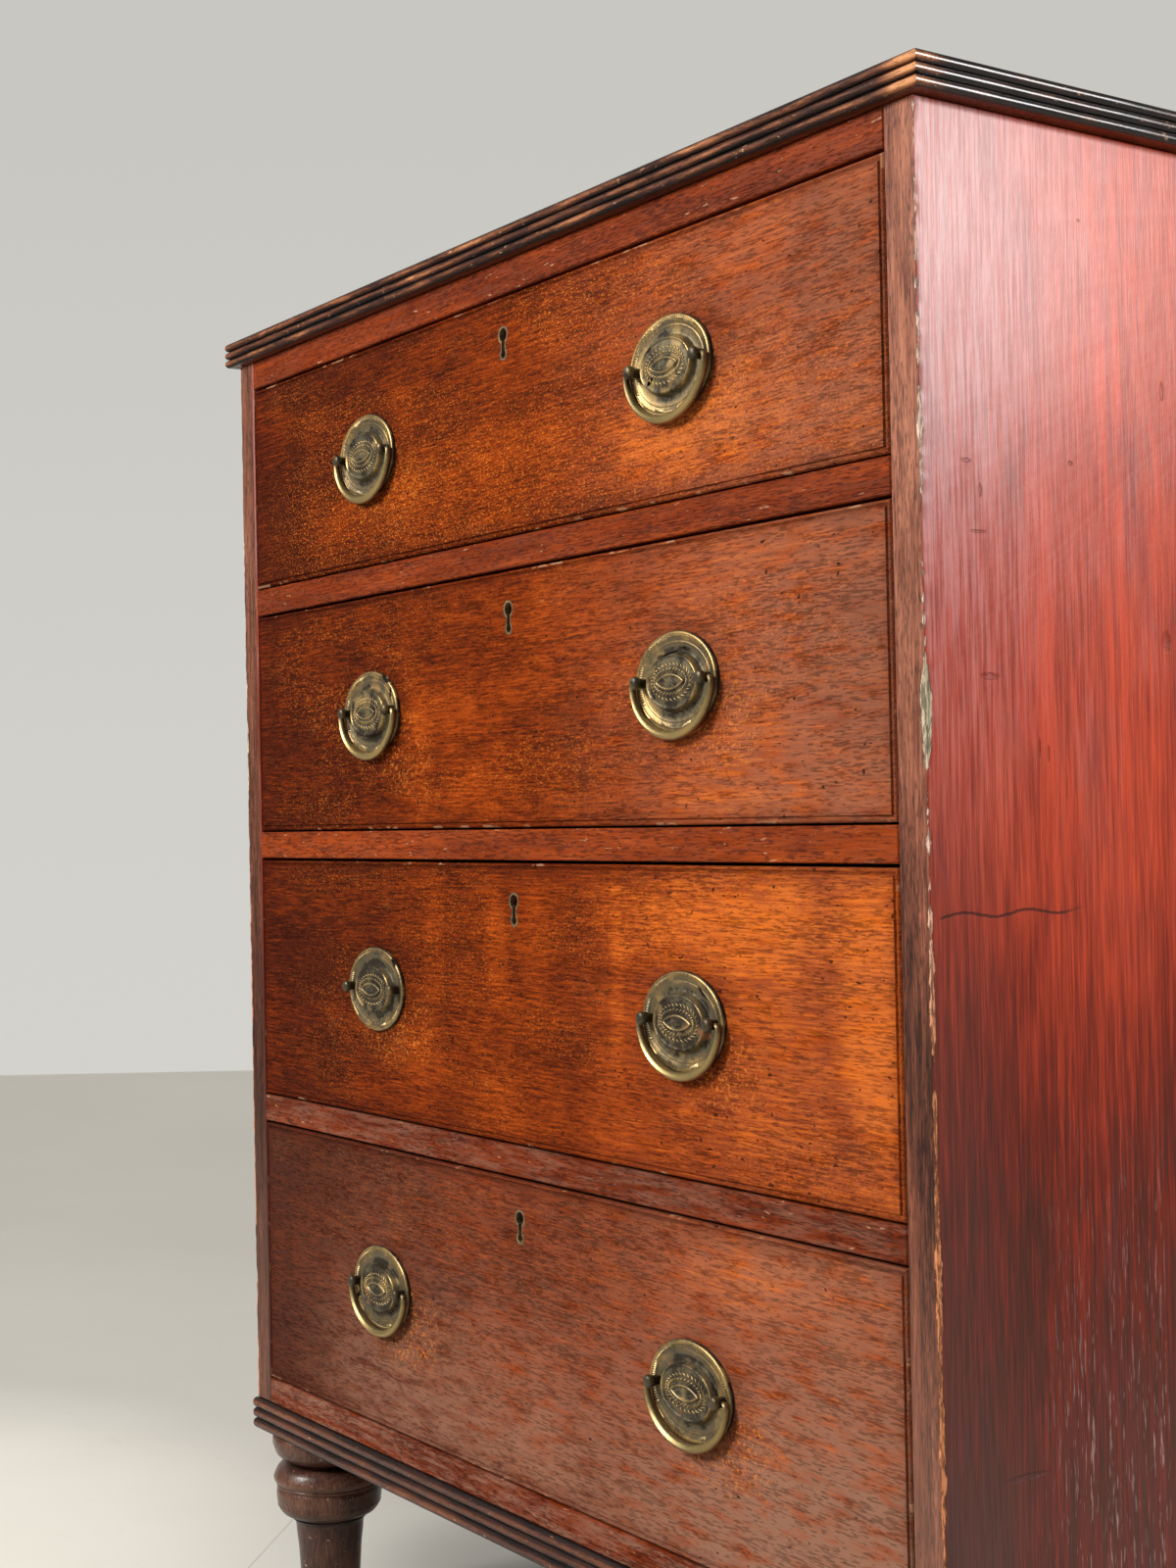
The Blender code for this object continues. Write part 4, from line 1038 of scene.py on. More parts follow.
# Width of a base member, and the strip beside its border where a piece takes no dents
BASE_MEMBER = 0.076
END_MARGIN = 0.0004


def reed_rows(low, high, depth, wood):
    """Rows of (out, up) of the reeds on an edge, from its foot to its head."""
    pitch = (high.z - low.z) / wood.reeds
    rows = []
    for index in range(wood.reeds):
        for step in range(1 if index else 0, wood.reed_steps + 1):
            turn = math.pi * (step / wood.reed_steps - 0.5)
            up = (index + 0.5) * pitch + pitch / 2 * math.sin(turn)
            rows.append((depth * (math.cos(turn) - 1.0), up))
    return rows


def note_crests(piece, low, high, wood):
    """Notes one on the crest of each reed and nought in the grooves beside it."""
    pitch = (high.z - low.z) / wood.reeds

    def crest(co):
        return max(0.0, math.sin(math.pi * ((co.z - low.z) / pitch % 1.0))) ** 1.5

    note_points(piece, "worn", crest)


class CHEST_OT_top(bpy.types.Operator):
    """Model the top with its reeded edge"""

    bl_idname = "chest.top"
    bl_label = "Top"

    def execute(self, context):
        wood = context.scene.chest_wood
        low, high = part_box("top")
        (out, up), *rows = reed_rows(low, high, TOP_REED_DEPTH, wood)
        deep = BACK_Y - low.y
        piece = fresh(
            "top_reeded", bpy.ops.mesh.primitive_plane_add, size=1.0,
            location=(0.0, BACK_Y - (deep + out) / 2, low.z),
        )
        piece.scale = (2 * (high.x + out), deep + out, 1.0)
        bpy.ops.object.transform_apply()
        edit()
        for next_out, next_up in rows:
            wider, deeper = ((size + next_out) / (size + out) for size in (high.x, deep))
            about = (0.0, BACK_Y, low.z + next_up)
            pull((0.0, 0.0, next_up - up), (wider, deeper, 1.0), about)
            out, up = next_out, next_up
        self.divide(low, high)
        leave()
        dent(piece, self.weigh, END_MARGIN, size=0.035, detail=2, rest=0.38, depth=0.0009)
        settle(piece, 50.0)
        note_crests(piece, low, high, wood)
        border = TOP_REED_DEPTH * 1.6
        note_points(piece, "edge", lambda co: float(
            abs(co.x) > high.x - border or co.y < low.y + border
        ))
        dress(piece, top_finish(wood), "carcase", "mahogany_top", "top")
        return {"FINISHED"}

    def divide(self, low, high):
        """Cuts the long reeds into short lengths, so that they can take dents."""
        slice_at(0, evenly(low.x, high.x, 90))
        slice_at(1, evenly(low.y, high.y, 45))
        for inset in (TOP_REED_DEPTH * 1.5, TOP_REED_DEPTH * 1.7):
            slice_at(0, (low.x + inset, high.x - inset))
            slice_at(1, (low.y + inset,))

    def weigh(self, co, low, high):
        """Only the reeds of the front and the ends take dents."""
        inset = min(co.x - low.x, high.x - co.x, co.y - low.y)
        return float(inset < TOP_DENT_REACH and co.y < high.y - END_MARGIN)


class CHEST_OT_base(bpy.types.Operator):
    """Model the three reeded members of the base, mitred at the front corners"""

    bl_idname = "chest.base"
    bl_label = "Base"

    def execute(self, context):
        wood = context.scene.chest_wood
        material = moulding_finish("mahogany_base", wood, 5.0)
        low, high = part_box("base_front")
        rows = reed_rows(low, high, BASE_REED_DEPTH, wood)
        for label in ("front", "left", "right"):
            node = "base_" + label
            piece = self.member(node + "_reeded", label, rows)

            def weigh(co, low, high):
                insets = {"front": co.y - low.y, "left": co.x - low.x, "right": high.x - co.x}
                return float(insets[label] < BASE_DENT_REACH)

            dent(piece, weigh, END_MARGIN, size=0.03, detail=2, rest=0.4, depth=0.0007)
            settle(piece, 50.0)
            note_crests(piece, low, high, wood)
            dress(piece, material, "carcase", "mahogany_dark", node)
        paint_node("base_back", material)
        return {"FINISHED"}

    def member(self, name, label, rows):
        """A flat frame piece pulled up through the rows of its reeds."""
        low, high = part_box("base_" + label)
        piece = fresh(name, bpy.ops.mesh.primitive_plane_add, size=1.0)
        (out, up), *rows = rows
        edit()
        bm = bmesh.from_edit_mesh(piece.data)
        corners = sorted(bm.verts, key=lambda vert: math.atan2(vert.co.y, vert.co.x))
        for vert, (x, y) in zip(corners, base_outline(label, low, high, out)):
            vert.co = (x, y, low.z)
        bmesh.update_edit_mesh(piece.data)
        for next_out, next_up in rows:
            rise = (0.0, 0.0, next_up - up)
            bpy.ops.mesh.extrude_region_move(TRANSFORM_OT_translate={"value": rise})
            bm = bmesh.from_edit_mesh(piece.data)
            places = list(zip(
                base_outline(label, low, high, out), base_outline(label, low, high, next_out)
            ))
            for vert in bm.verts:
                if vert.select:
                    old = vert.co.xy
                    vert.co.xy = min(places, key=lambda pair: (Vector(pair[0]) - old).length)[1]
            bmesh.update_edit_mesh(piece.data)
            out, up = next_out, next_up
        along, lengths = (0, 80) if label == "front" else (1, 44)
        slice_at(along, evenly(low[along], high[along], lengths))
        leave()
        return piece


def base_outline(label, low, high, out):
    """Plan of a base member, corner by corner, with its moulded edge out by an amount."""
    if label == "front":
        start, reach = low.y - out, high.x + out
        inner = reach - (high.y - start)
        return [(-reach, start), (reach, start), (inner, high.y), (-inner, high.y)]
    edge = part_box("base_right")[1].x + out
    inner = SIDE_X - BASE_MEMBER
    start = low.y - out
    mitre = start + edge - inner
    if label == "left":
        return [(-edge, start), (-inner, mitre), (-inner, high.y), (-edge, high.y)]
    return [(inner, mitre), (edge, start), (edge, high.y), (inner, high.y)]


# The foot's outline from its seat down: share of its radius, share of its height
FOOT_ROWS = (
    (0.96, 0.0), (0.988, 0.007), (0.998, 0.013), (1.0, 0.022), (1.0, 0.046), (0.992, 0.055),
    (0.98, 0.064), (0.962, 0.079), (0.953, 0.088), (0.937, 0.0966), (0.915, 0.1055),
    (0.87, 0.1175), (0.832, 0.127), (0.773, 0.1354), (0.729, 0.1413), (0.702, 0.1473),
    (0.713, 0.151), (0.769, 0.155), (0.834, 0.1604), (0.883, 0.1688), (0.925, 0.182),
    (0.949, 0.1962), (0.978, 0.213), (0.992, 0.2266), (0.98, 0.2397), (0.945, 0.2528),
    (0.931, 0.2576), (0.939, 0.2606), (0.941, 0.2636), (0.939, 0.2677), (0.927, 0.2725),
    (0.915, 0.2767), (0.921, 0.2809), (0.935, 0.2904), (0.941, 0.3023), (0.943, 0.3154),
    (0.939, 0.3321), (0.933, 0.3476), (0.925, 0.3542), (0.923, 0.3584), (0.927, 0.3631),
    (0.927, 0.3703), (0.915, 0.3769), (0.901, 0.3846), (0.874, 0.3977), (0.832, 0.4114),
    (0.769, 0.4216), (0.709, 0.4287), (0.658, 0.4353), (0.66, 0.4383), (0.67, 0.4419),
    (0.666, 0.4466), (0.644, 0.4514), (0.626, 0.4568), (0.611, 0.4663), (0.601, 0.4872),
    (0.593, 0.5194), (0.579, 0.5528), (0.563, 0.5927), (0.549, 0.6541), (0.536, 0.7221),
    (0.51, 0.8211), (0.478, 0.9284), (0.455, 0.991), (0.441, 1.0),
)

# Height where the plain taper begins, evenly rubbed, below the turned rings
TAPER_HEAD = 0.09
TAPER_WEAR = 0.55


class CHEST_OT_feet(bpy.types.Operator):
    """Turn the four feet"""

    bl_idname = "chest.feet"
    bl_label = "Feet"

    def execute(self, context):
        wood = context.scene.chest_wood
        material = foot_finish(wood)
        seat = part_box("base_front")[0].z - FIT
        for corner in ("front_left", "front_right", "back_left", "back_right"):
            node = "foot_" + corner
            low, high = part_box(node)
            radius = (high.x - low.x) / 2
            stud = radius * 0.25
            profile = [(stud, high.z), (stud, seat)]
            profile += [(share * radius, seat * (1.0 - drop)) for share, drop in FOOT_ROWS]
            place = Vector(((low.x + high.x) / 2, (low.y + high.y) / 2, 0.0))
            piece = turned(node + "_turned", profile, wood.turning_steps, place)
            settle(piece, 32.0)
            note_points(piece, "worn", lambda co: self.crest(co, place, radius))
            dress(piece, material, "carcase", "mahogany_dark", node)
        return {"FINISHED"}

    def crest(self, co, place, radius):
        """Rubbed where the turning stands out, black in its grooves."""
        out = (co.xy - place.xy).length / radius
        return clamped((out - 0.75) / 0.25) if co.z > TAPER_HEAD else TAPER_WEAR


# Where the front edges are broken: height, half length and how deep
CHIPS = (
    (0.785, 0.026, 1.0), (0.745, 0.018, 0.95), (0.692, 0.008, 0.8), (0.60, 0.012, 0.5),
    (0.52, 0.02, 0.45), (0.43, 0.03, 0.55), (0.36, 0.02, 0.75), (0.30, 0.03, 0.7),
    (0.24, 0.03, 0.8), (0.93, 0.01, 0.4),
)
LEAST_WEAR = 0.34

# Strips cut beside a front edge, and how far in from it the wear reaches
ARRIS_STRIPS = (0.0022, 0.0042, 0.0075)
ARRIS_REACH = 0.006


class CHEST_OT_sides(bpy.types.Operator):
    """Work the side panels, with the worn and chipped front edges"""

    bl_idname = "chest.sides"
    bl_label = "Sides"

    def execute(self, context):
        wood = context.scene.chest_wood
        material = side_finish(wood)
        for label, hand in HANDS:
            node = "side_" + label
            piece = copy_of(node, node + "_worn")
            low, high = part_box(node)
            arris = Vector((high.x if hand > 0 else low.x, low.y))
            self.divide(piece, arris, hand)
            self.chip(piece, arris, wood.arris_wear * (1.0 if hand > 0 else 0.6))
            settle(piece, 30.0)
            dress(piece, material, "carcase", "mahogany_side", node)
        return {"FINISHED"}

    def divide(self, piece, arris, hand):
        """Narrow strips beside the front edge, cut into short lengths."""
        edit()
        for reach in ARRIS_STRIPS:
            slice_at(0, (arris.x - hand * reach,))
            slice_at(1, (arris.y + reach,))
        for longest in (0.3, 0.01):
            pick(piece, "edges", lambda edge: self.beside(edge, arris, longest))
            bpy.ops.mesh.subdivide(number_cuts=19)
        leave()

    def beside(self, edge, arris, longest):
        """Whether a long edge runs upright within the strips beside the front edge."""
        first, second = (vert.co.xy for vert in edge.verts)
        upright = (first - second).length <= 0.0001 and edge.calc_length() > longest
        away = first - arris
        return upright and max(abs(away.x), abs(away.y)) < ARRIS_STRIPS[-1] + 0.0002

    def chip(self, piece, arris, depth):
        """Pushes the front edge in where it is worn, deepest at the chips."""
        before = [point.co.copy() for point in piece.data.vertices]

        def weigh(co, low, high):
            near = max(0.0, 1.0 - (co.xy - arris).length / ARRIS_REACH)
            return chip_weight(co.z) * near ** 1.3

        dent(piece, weigh, 0.0015, size=0.011, detail=3, rest=0.26, depth=depth * 2.6)
        moved = [(point.co - old).length for point, old in zip(piece.data.vertices, before)]
        note(piece, "worn", [min(1.0, length / 0.0011) for length in moved])


def chip_weight(height):
    """How strongly the front edge is worn at a height."""
    chips = (depth * (1.0 - ((height - place) / half) ** 2) for place, half, depth in CHIPS)
    return max(LEAST_WEAR, *chips)


# Each rail's warmth and dust
RAILS = {
    "top_rail": (0.36, 0.1), "divider_1": (0.36, 0.1), "divider_2": (0.46, 0.1),
    "divider_3": (0.26, 0.45), "bottom": (0.30, 0.75),
}


class CHEST_OT_carcase(bpy.types.Operator):
    """Finish the rails and the back"""

    bl_idname = "chest.carcase"
    bl_label = "Rails and back"

    def execute(self, context):
        wood = context.scene.chest_wood
        for seed, (node, (warmth, dust)) in enumerate(RAILS.items(), 1):
            paint_node(node, rail_finish("mahogany_" + node, wood, warmth, dust, seed))
        paint_node("back", back_finish())
        return {"FINISHED"}


class CHEST_OT_drawers(bpy.types.Operator):
    """Finish the drawer fronts and their oak linings"""

    bl_idname = "chest.drawers"
    bl_label = "Drawers"

    def execute(self, context):
        wood = context.scene.chest_wood
        along, across = lining_finish("y", 2.0), lining_finish("x", 3.0)
        linings = {"side_left": along, "side_right": along, "back": across, "bottom": across}
        for number in DRAWERS:
            paint_node("drawer_%d_front" % number, front_finish(number, wood))
            for part, material in linings.items():
                paint_node("drawer_%d_%s" % (number, part), material)
        return {"FINISHED"}


# The plate's rows from the drawer outwards to the boss: shares of its half width
# and half height, and a share of the boss's height
PLATE_ROWS = (
    (0.998, 0.997, 0.0), (1.0, 1.0, 0.05), (1.0, 1.0, 0.14), (0.996, 0.995, 0.22),
    (0.986, 0.982, 0.30), (0.972, 0.964, 0.352), (0.957, 0.945, 0.362), (0.942, 0.926, 0.345),
    (0.930, 0.911, 0.305), (0.922, 0.901, 0.262), (0.914, 0.891, 0.268), (0.885, 0.854, 0.245),
    (0.852, 0.812, 0.222), (0.842, 0.800, 0.205), (0.834, 0.789, 0.225), (0.824, 0.777, 0.232),
    (0.814, 0.764, 0.21), (0.80, 0.747, 0.19), (0.775, 0.717, 0.172), (0.74, 0.674, 0.16),
    (0.70, 0.630, 0.158), (0.676, 0.607, 0.17), (0.662, 0.592, 0.22), (0.650, 0.576, 0.36),
    (0.637, 0.560, 0.54), (0.624, 0.544, 0.68), (0.615, 0.533, 0.755), (0.606, 0.522, 0.785),
    (0.596, 0.510, 0.782), (0.587, 0.499, 0.745), (0.578, 0.488, 0.705), (0.565, 0.473, 0.70),
    (0.53, 0.430, 0.725), (0.48, 0.368, 0.755), (0.42, 0.29, 0.785), (0.36, 0.215, 0.805),
    (0.30, 0.14, 0.82),
)
PLATE_HALF = (0.0446, 0.034)
BOSS_HEIGHT = 0.0082
PLATE_AGES = {1: 0.02, 2: 0.03, 3: 0.10, 4: 0.05}

# The milled band, in shares of the plate, and how far every second point stands out
MILLED_BAND = (0.855, 0.92)
MILLED_RISE = 0.0008

# What shows as raised from the rim inwards: the share of the plate where a zone starts,
# the shares of the boss's height where it is low and how soon it is high, least and most
RAISED_ZONES = (
    (0.84, 0.22, 0.14, 0.0, 1.0), (0.69, 0.15, 0.12, 0.12, 0.6), (0.575, 0.2, 0.6, 0.1, 1.0),
)
FIELD_RAISED = 0.12

# The lozenge on the boss, in the same shares
LOZENGE_ROWS = (
    (1.04, 1.12, 0.78), (1.0, 1.0, 0.92), (0.95, 0.92, 0.985), (0.9, 0.84, 1.0),
    (0.84, 0.76, 0.975), (0.79, 0.68, 0.90), (0.74, 0.60, 0.86), (0.55, 0.42, 0.87),
    (0.3, 0.2, 0.885),
)
LOZENGE_HALF = (0.0160, 0.0056)

# Radius and height along a post, its place above the plate's middle, and its head's foot
POST_ROWS = (
    (0.0036, 0.0006), (0.0036, 0.0072), (0.0039, 0.0078), (0.0045, 0.0084), (0.00468, 0.0092),
    (0.0047, 0.0100), (0.0045, 0.0108), (0.0040, 0.0115), (0.0032, 0.0120), (0.0020, 0.01238),
    (0.0008, 0.0125),
)
POST_RISE = 0.001
POST_HEAD = 0.0082

# The two rows of leaves: half width and height of the row, lean of a leaf, share of
# the boss's height, length and breadth of a leaf
WREATH_ROWS = (
    (0.0176, 0.0082, 0.6, 0.80, 0.0037, 0.0017), (0.0210, 0.0118, -0.6, 0.765, 0.0040, 0.0018),
)
LEAF_THICKNESS = 0.0016

# Tears and holes of the plates: middle x and z, half length, half breadth and lean
TEARS = {
    (1, "right"): ((-0.0165, -0.0085, 0.0042, 0.0016, 0.5),),
    (2, "right"): (
        (-0.006, 0.0188, 0.0145, 0.0017, 0.16), (0.0105, 0.0215, 0.0055, 0.0013, -0.25),
    ),
    (2, "left"): ((0.0265, 0.0275, 0.0065, 0.0035, -0.7), (0.033, 0.014, 0.0022, 0.006, -0.4)),
    (3, "left"): ((0.031, 0.023, 0.005, 0.002, -0.9), (0.0305, -0.0015, 0.0042, 0.0028, 0.0)),
    (3, "right"): ((0.0215, 0.0205, 0.006, 0.0014, -0.8),),
    (4, "left"): ((-0.038, -0.012, 0.004, 0.0018, 1.1),),
}
TEAR_DEPTH = 0.0075


class CHEST_OT_plates(bpy.types.Operator):
    """Stamp the oval plates with their posts, wreaths and damage"""

    bl_idname = "chest.plates"
    bl_label = "Plates"

    def execute(self, context):
        brass = context.scene.chest_brass
        oval = self.oval(brass.plate_points)
        fittings = self.fittings(brass.leaves)
        for number, label, hand, middle in handle_places():
            node = "drawer_%d_plate_%s" % (number, label)
            plate = copied(oval, node + "_stamped")
            self.damage(plate, TEARS.get((number, label), ()))
            piece = joined(plate.name, (plate, copied(fittings, "fittings")))
            smooth(38.0)
            piece.location = middle
            bpy.ops.object.transform_apply()
            age = PLATE_AGES[number] + (0.02 if hand < 0 else 0.0)
            name = "brass_%d_%s" % (number, label)
            material = brass_finish(name, brass, age, number * 3.0 + hand)
            dress(piece, material, "drawer_%d" % number, "brass_plate", node)
        for pattern in (oval, fittings):
            bpy.data.objects.remove(pattern)
        return {"FINISHED"}

    def fittings(self, leaves):
        """What stands on the oval: the lozenge, its wreath and the two posts."""
        lozenge = stamped(
            "lozenge", LOZENGE_ROWS, LOZENGE_HALF, 48, BOSS_HEIGHT, sharpness=1.8
        )
        wreath = self.wreath(leaves)
        posts = [
            turned("post", POST_ROWS, 28, (hand * POST_REACH, 0.0, POST_RISE), FACING_OUT)
            for _, hand in HANDS
        ]
        for parts, raised, soot in (
            ([lozenge], lozenge_raised, lambda co: 0.0),
            (wreath, lambda co: 0.75, lambda co: 0.0),
            # Painted shade: a post's neck under its head is near black; the head is dark with
            # tarnish.
            (posts, lambda co: 0.3, lambda co: 0.5 if co.y < -POST_HEAD else 0.97),
        ):
            for part in parts:
                turn_outwards(part)
                note_points(part, "raised", raised)
                note_points(part, "soot", soot)
        return joined("fittings", (lozenge, *wreath, *posts))

    def oval(self, points):
        """The plain plate, with the band inside its rim milled."""
        piece = stamped("plate", PLATE_ROWS, PLATE_HALF, points, BOSS_HEIGHT - FIT, base=FIT)
        edit()
        pick(piece, "verts", lambda vert: self.milled(vert.co, points))
        bpy.ops.transform.translate(value=(0.0, -MILLED_RISE, 0.0))
        leave()
        turn_outwards(piece)
        note_points(piece, "raised", plate_raised)
        return piece

    def milled(self, co, points):
        """Every second point of the band inside the rim."""
        turn = math.atan2(co.z / PLATE_HALF[1], co.x / PLATE_HALF[0]) / math.tau * points
        return MILLED_BAND[0] < plate_share(co) < MILLED_BAND[1] and round(turn) % 2 == 0

    def wreath(self, count):
        """Two rows of small leaves that lean the same way round the lozenge."""
        leaf = fresh(
            "leaf", bpy.ops.mesh.primitive_uv_sphere_add, segments=8, ring_count=6, radius=0.5
        )
        edit()
        pick(leaf, "verts", lambda vert: vert.co.x > 0.1)
        bpy.ops.transform.resize(value=(1.25, 0.55, 0.55), center_override=ORIGIN)
        leave()
        leaves = []
        for half_wide, half_high, lean, depth, long, broad in WREATH_ROWS:
            for index in range(count):
                turn = math.tau * (index + 0.5) / count
                across, up = math.cos(turn), math.sin(turn)
                heading = math.atan2(half_high * across, -half_wide * up) + lean
                place = (half_wide * across, -depth * BOSS_HEIGHT, half_high * up)
                spin = Matrix.Rotation(-heading, 4, "Y")
                size = Matrix.Diagonal((long, LEAF_THICKNESS, broad, 1.0))
                leaves.append(copied(leaf, "leaf"))
                leaves[-1].data.transform(Matrix.Translation(place) @ spin @ size)
        bpy.data.objects.remove(leaf)
        return leaves

    def damage(self, piece, tears):
        """Cuts the tears and holes of one plate, and paints what shows in them black as shade."""
        for x, z, long, broad, lean in tears:
            carve(
                piece, (x, -TEAR_DEPTH, z), (long, TEAR_DEPTH, broad), -lean,
                bpy.ops.mesh.primitive_uv_sphere_add, segments=20, ring_count=10, radius=1.0,
            )
        note_points(piece, "soot", lambda co: tear_shade(co, tears))


def tear_shade(co, tears):
    """One inside a tear, where it is painted black as shade, nought away from it."""
    for x, z, long, broad, lean in tears:
        across, up = co.x - x, co.z - z
        first = (across * math.cos(lean) + up * math.sin(lean)) / long
        second = (up * math.cos(lean) - across * math.sin(lean)) / broad
        if first * first + second * second < 1.02:
            return 1.0
    return 0.0


def lozenge_raised(co):
    """High on the rim of the pointed oval and low in its field."""
    return 0.85 if -co.y / BOSS_HEIGHT > 0.93 else FIELD_RAISED


def plate_share(co):
    """How far a point lies from the plate's middle, as a share of the way to its border."""
    return math.hypot(co.x / PLATE_HALF[0], co.z / PLATE_HALF[1])


def plate_raised(co):
    """How far a point of the plate stands out from what lies round it."""
    share, depth = plate_share(co), -co.y / BOSS_HEIGHT
    for start, low, climb, least, most in RAISED_ZONES:
        if share > start:
            return clamped((depth - low) / climb, least, most)
    return FIELD_RAISED


# A bail's radius in the middle of its bow
BAIL_RADIUS = 0.0034


class CHEST_OT_bails(bpy.types.Operator):
    """Cast the swing bails, thicker in the middle and ridged in front"""

    bl_idname = "chest.bails"
    bl_label = "Bails"

    def execute(self, context):
        material = bail_finish(context.scene.chest_brass)
        pattern = self.bail()
        for number, label, _, _ in handle_places():
            node = "drawer_%d_bail_%s" % (number, label)
            if node in frame["nodes"]:
                piece = copied(pattern, node + "_cast")
                piece.location = joint_place(node + "_swing")
                bpy.ops.object.transform_apply()
                dress(piece, material, node, "brass_bail", node)
        bpy.data.objects.remove(pattern)
        return {"FINISHED"}

    def line(self):
        """Centre line of a bail in (x, z) about its hinge, with its radius there."""
        half, drop, corner = 0.0436, 0.0365, 0.0032
        tip, pin, end = 0.0366, 0.0016, 0.0022
        start = math.asin(corner / drop)
        right = [
            (tip, 0.0, pin), (half - 1.5 * corner, 0.0, pin), (half - corner, 0.0, pin * 1.05),
            (half - 0.55 * corner, -0.06 * corner, 0.0019),
            (half - 0.2 * corner, -0.3 * corner, 0.0021),
        ]
        bow = []
        steps = 44
        for step in range(steps + 1):
            turn = start + (math.pi - 2 * start) * step / steps
            radius = end + (BAIL_RADIUS - end) * math.sin(turn)
            bow.append((half * math.cos(turn), -drop * math.sin(turn), radius))
        return right + bow + [(-x, z, radius) for x, z, radius in reversed(right)]

    def section(self):
        """The bail's section, with a ridge in front and behind."""
        curve = bpy.data.curves.new("bail section", "CURVE")
        curve.dimensions = "2D"
        count = 18
        outline = []
        for index in range(count):
            turn = math.tau * index / count
            ridge = 0.10 if index in (0, count // 2) else 0.0
            swell = 1.0 - 0.10 * abs(math.sin(turn)) + ridge
            outline.append((math.cos(turn) * swell, math.sin(turn) * swell, 0.0))
        thread_through(curve, outline, closed=True)
        return linked("bail section", curve)

    def bail(self):
        """The section swept along the centre line."""
        curve = bpy.data.curves.new("bail", "CURVE")
        curve.dimensions = "3D"
        curve.bevel_mode = "OBJECT"
        curve.bevel_object = self.section()
        curve.use_fill_caps = True
        places = self.line()
        line = thread_through(curve, [(x, 0.0, z) for x, z, _ in places])
        line.points.foreach_set("radius", [radius for _, _, radius in places])
        section = curve.bevel_object
        piece = made_mesh("bail", curve)
        settle(piece, 60.0)
        bpy.data.objects.remove(section)
        note_points(piece, "raised", self.ridge)
        return piece

    def ridge(self, co):
        """Rubbed in front, and lighter on the lower bow than where the bail turns into its posts,
        partly as painted light.
        """
        in_front = clamped(0.35 - co.y / BAIL_RADIUS * 0.55)
        return in_front * (0.4 + 0.6 * min(1.0, -co.z / 0.02))


# The keyhole's thread
THREAD_WALL = 0.0017
THREAD_ROUNDING = 0.00045

# A lock screw's rows of radius and height, its slot, and its places in the lock's case
SCREW_ROWS = ((0.0038, -0.0004), (0.0038, -0.0001), (0.0030, 0.0), (0.0012, 0.0001))
SCREW_SLOT = (0.009, 0.0005, 0.0009)
SCREW_REACH = 0.026
SCREW_INSETS = (0.008, 0.012)


class CHEST_OT_keyholes(bpy.types.Operator):
    """Line the keyholes with rounded brass thread and finish the locks"""

    bl_idname = "chest.keyholes"
    bl_label = "Keyholes and locks"

    def execute(self, context):
        thread, iron = thread_finish(context.scene.chest_brass), iron_finish()
        for number in DRAWERS:
            drawer = "drawer_%d" % number
            node = drawer + "_escutcheon"
            piece = self.thread(node + "_thread", *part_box(node))
            dress(piece, thread, drawer, "brass_thread", node)
            paint_node(drawer + "_lock", iron)
            dress(self.screws(drawer), iron, drawer, "iron_lock")
        return {"FINISHED"}

    def outline(self, width, height, grow):
        """The round-topped keyhole about its middle."""
        top, bottom, waist = 0.0066, 0.0048, 0.0031
        steps = 14
        right = []
        for radius, middle, start, stop in (
            (bottom, bottom - height / 2, -math.pi / 2, math.acos(waist / bottom)),
            (top, height / 2 - top, -math.acos(waist / top), math.pi / 2),
        ):
            for step in range(steps + 1):
                turn = start + (stop - start) * step / steps
                reach = radius + grow
                right.append((reach * math.cos(turn), middle + reach * math.sin(turn), 0.0))
        return right + [(-x, y, z) for x, y, z in reversed(right[1:-1])]

    def thread(self, name, low, high):
        """A band of brass on edge, its front rounded over."""
        curve = bpy.data.curves.new(name, "CURVE")
        curve.dimensions = "2D"
        curve.fill_mode = "BOTH"
        curve.extrude = (high.y - low.y) / 2
        for grow in (0.0, -THREAD_WALL):
            thread_through(curve, self.outline(high.x - low.x, high.z - low.z, grow), closed=True)
        piece = made_mesh(name, curve)
        piece.data.transform(Matrix.Translation((low + high) / 2) @ FACING_OUT)
        settle(piece, 30.0)
        change(
            piece, "BEVEL", width=THREAD_ROUNDING, segments=2, limit_method="ANGLE",
            angle_limit=math.radians(60.0),
        )
        smooth(50.0)
        return piece

    def screws(self, drawer):
        """Countersunk screws in the lock's case, seen from inside the drawer."""
        low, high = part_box(drawer + "_lock")
        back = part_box(drawer + "_front")[1].y
        heads = []
        for z in (low.z + SCREW_INSETS[0], high.z - SCREW_INSETS[1]):
            for x in (-SCREW_REACH, SCREW_REACH):
                head = turned("screw", SCREW_ROWS, 20, (x, back, z), FACING_IN)
                turn = 0.6 + len(heads) * 0.9
                cube = bpy.ops.mesh.primitive_cube_add
                carve(head, (x, back, z), SCREW_SLOT, turn, cube, size=1.0)
                heads.append(head)
        piece = joined(drawer + "_lock_screws", heads)
        settle(piece, 35.0)
        return piece


# A square nut, its middle from the front's inner face, and the bolt's rows
NUT_SIZE = (0.0095, 0.0034, 0.0095)
NUT_MIDDLE = Vector((0.0, 0.0018, 0.0))
BOLT_ROWS = ((0.0019, 0.0), (0.0019, 0.0049), (0.0014, 0.0055))


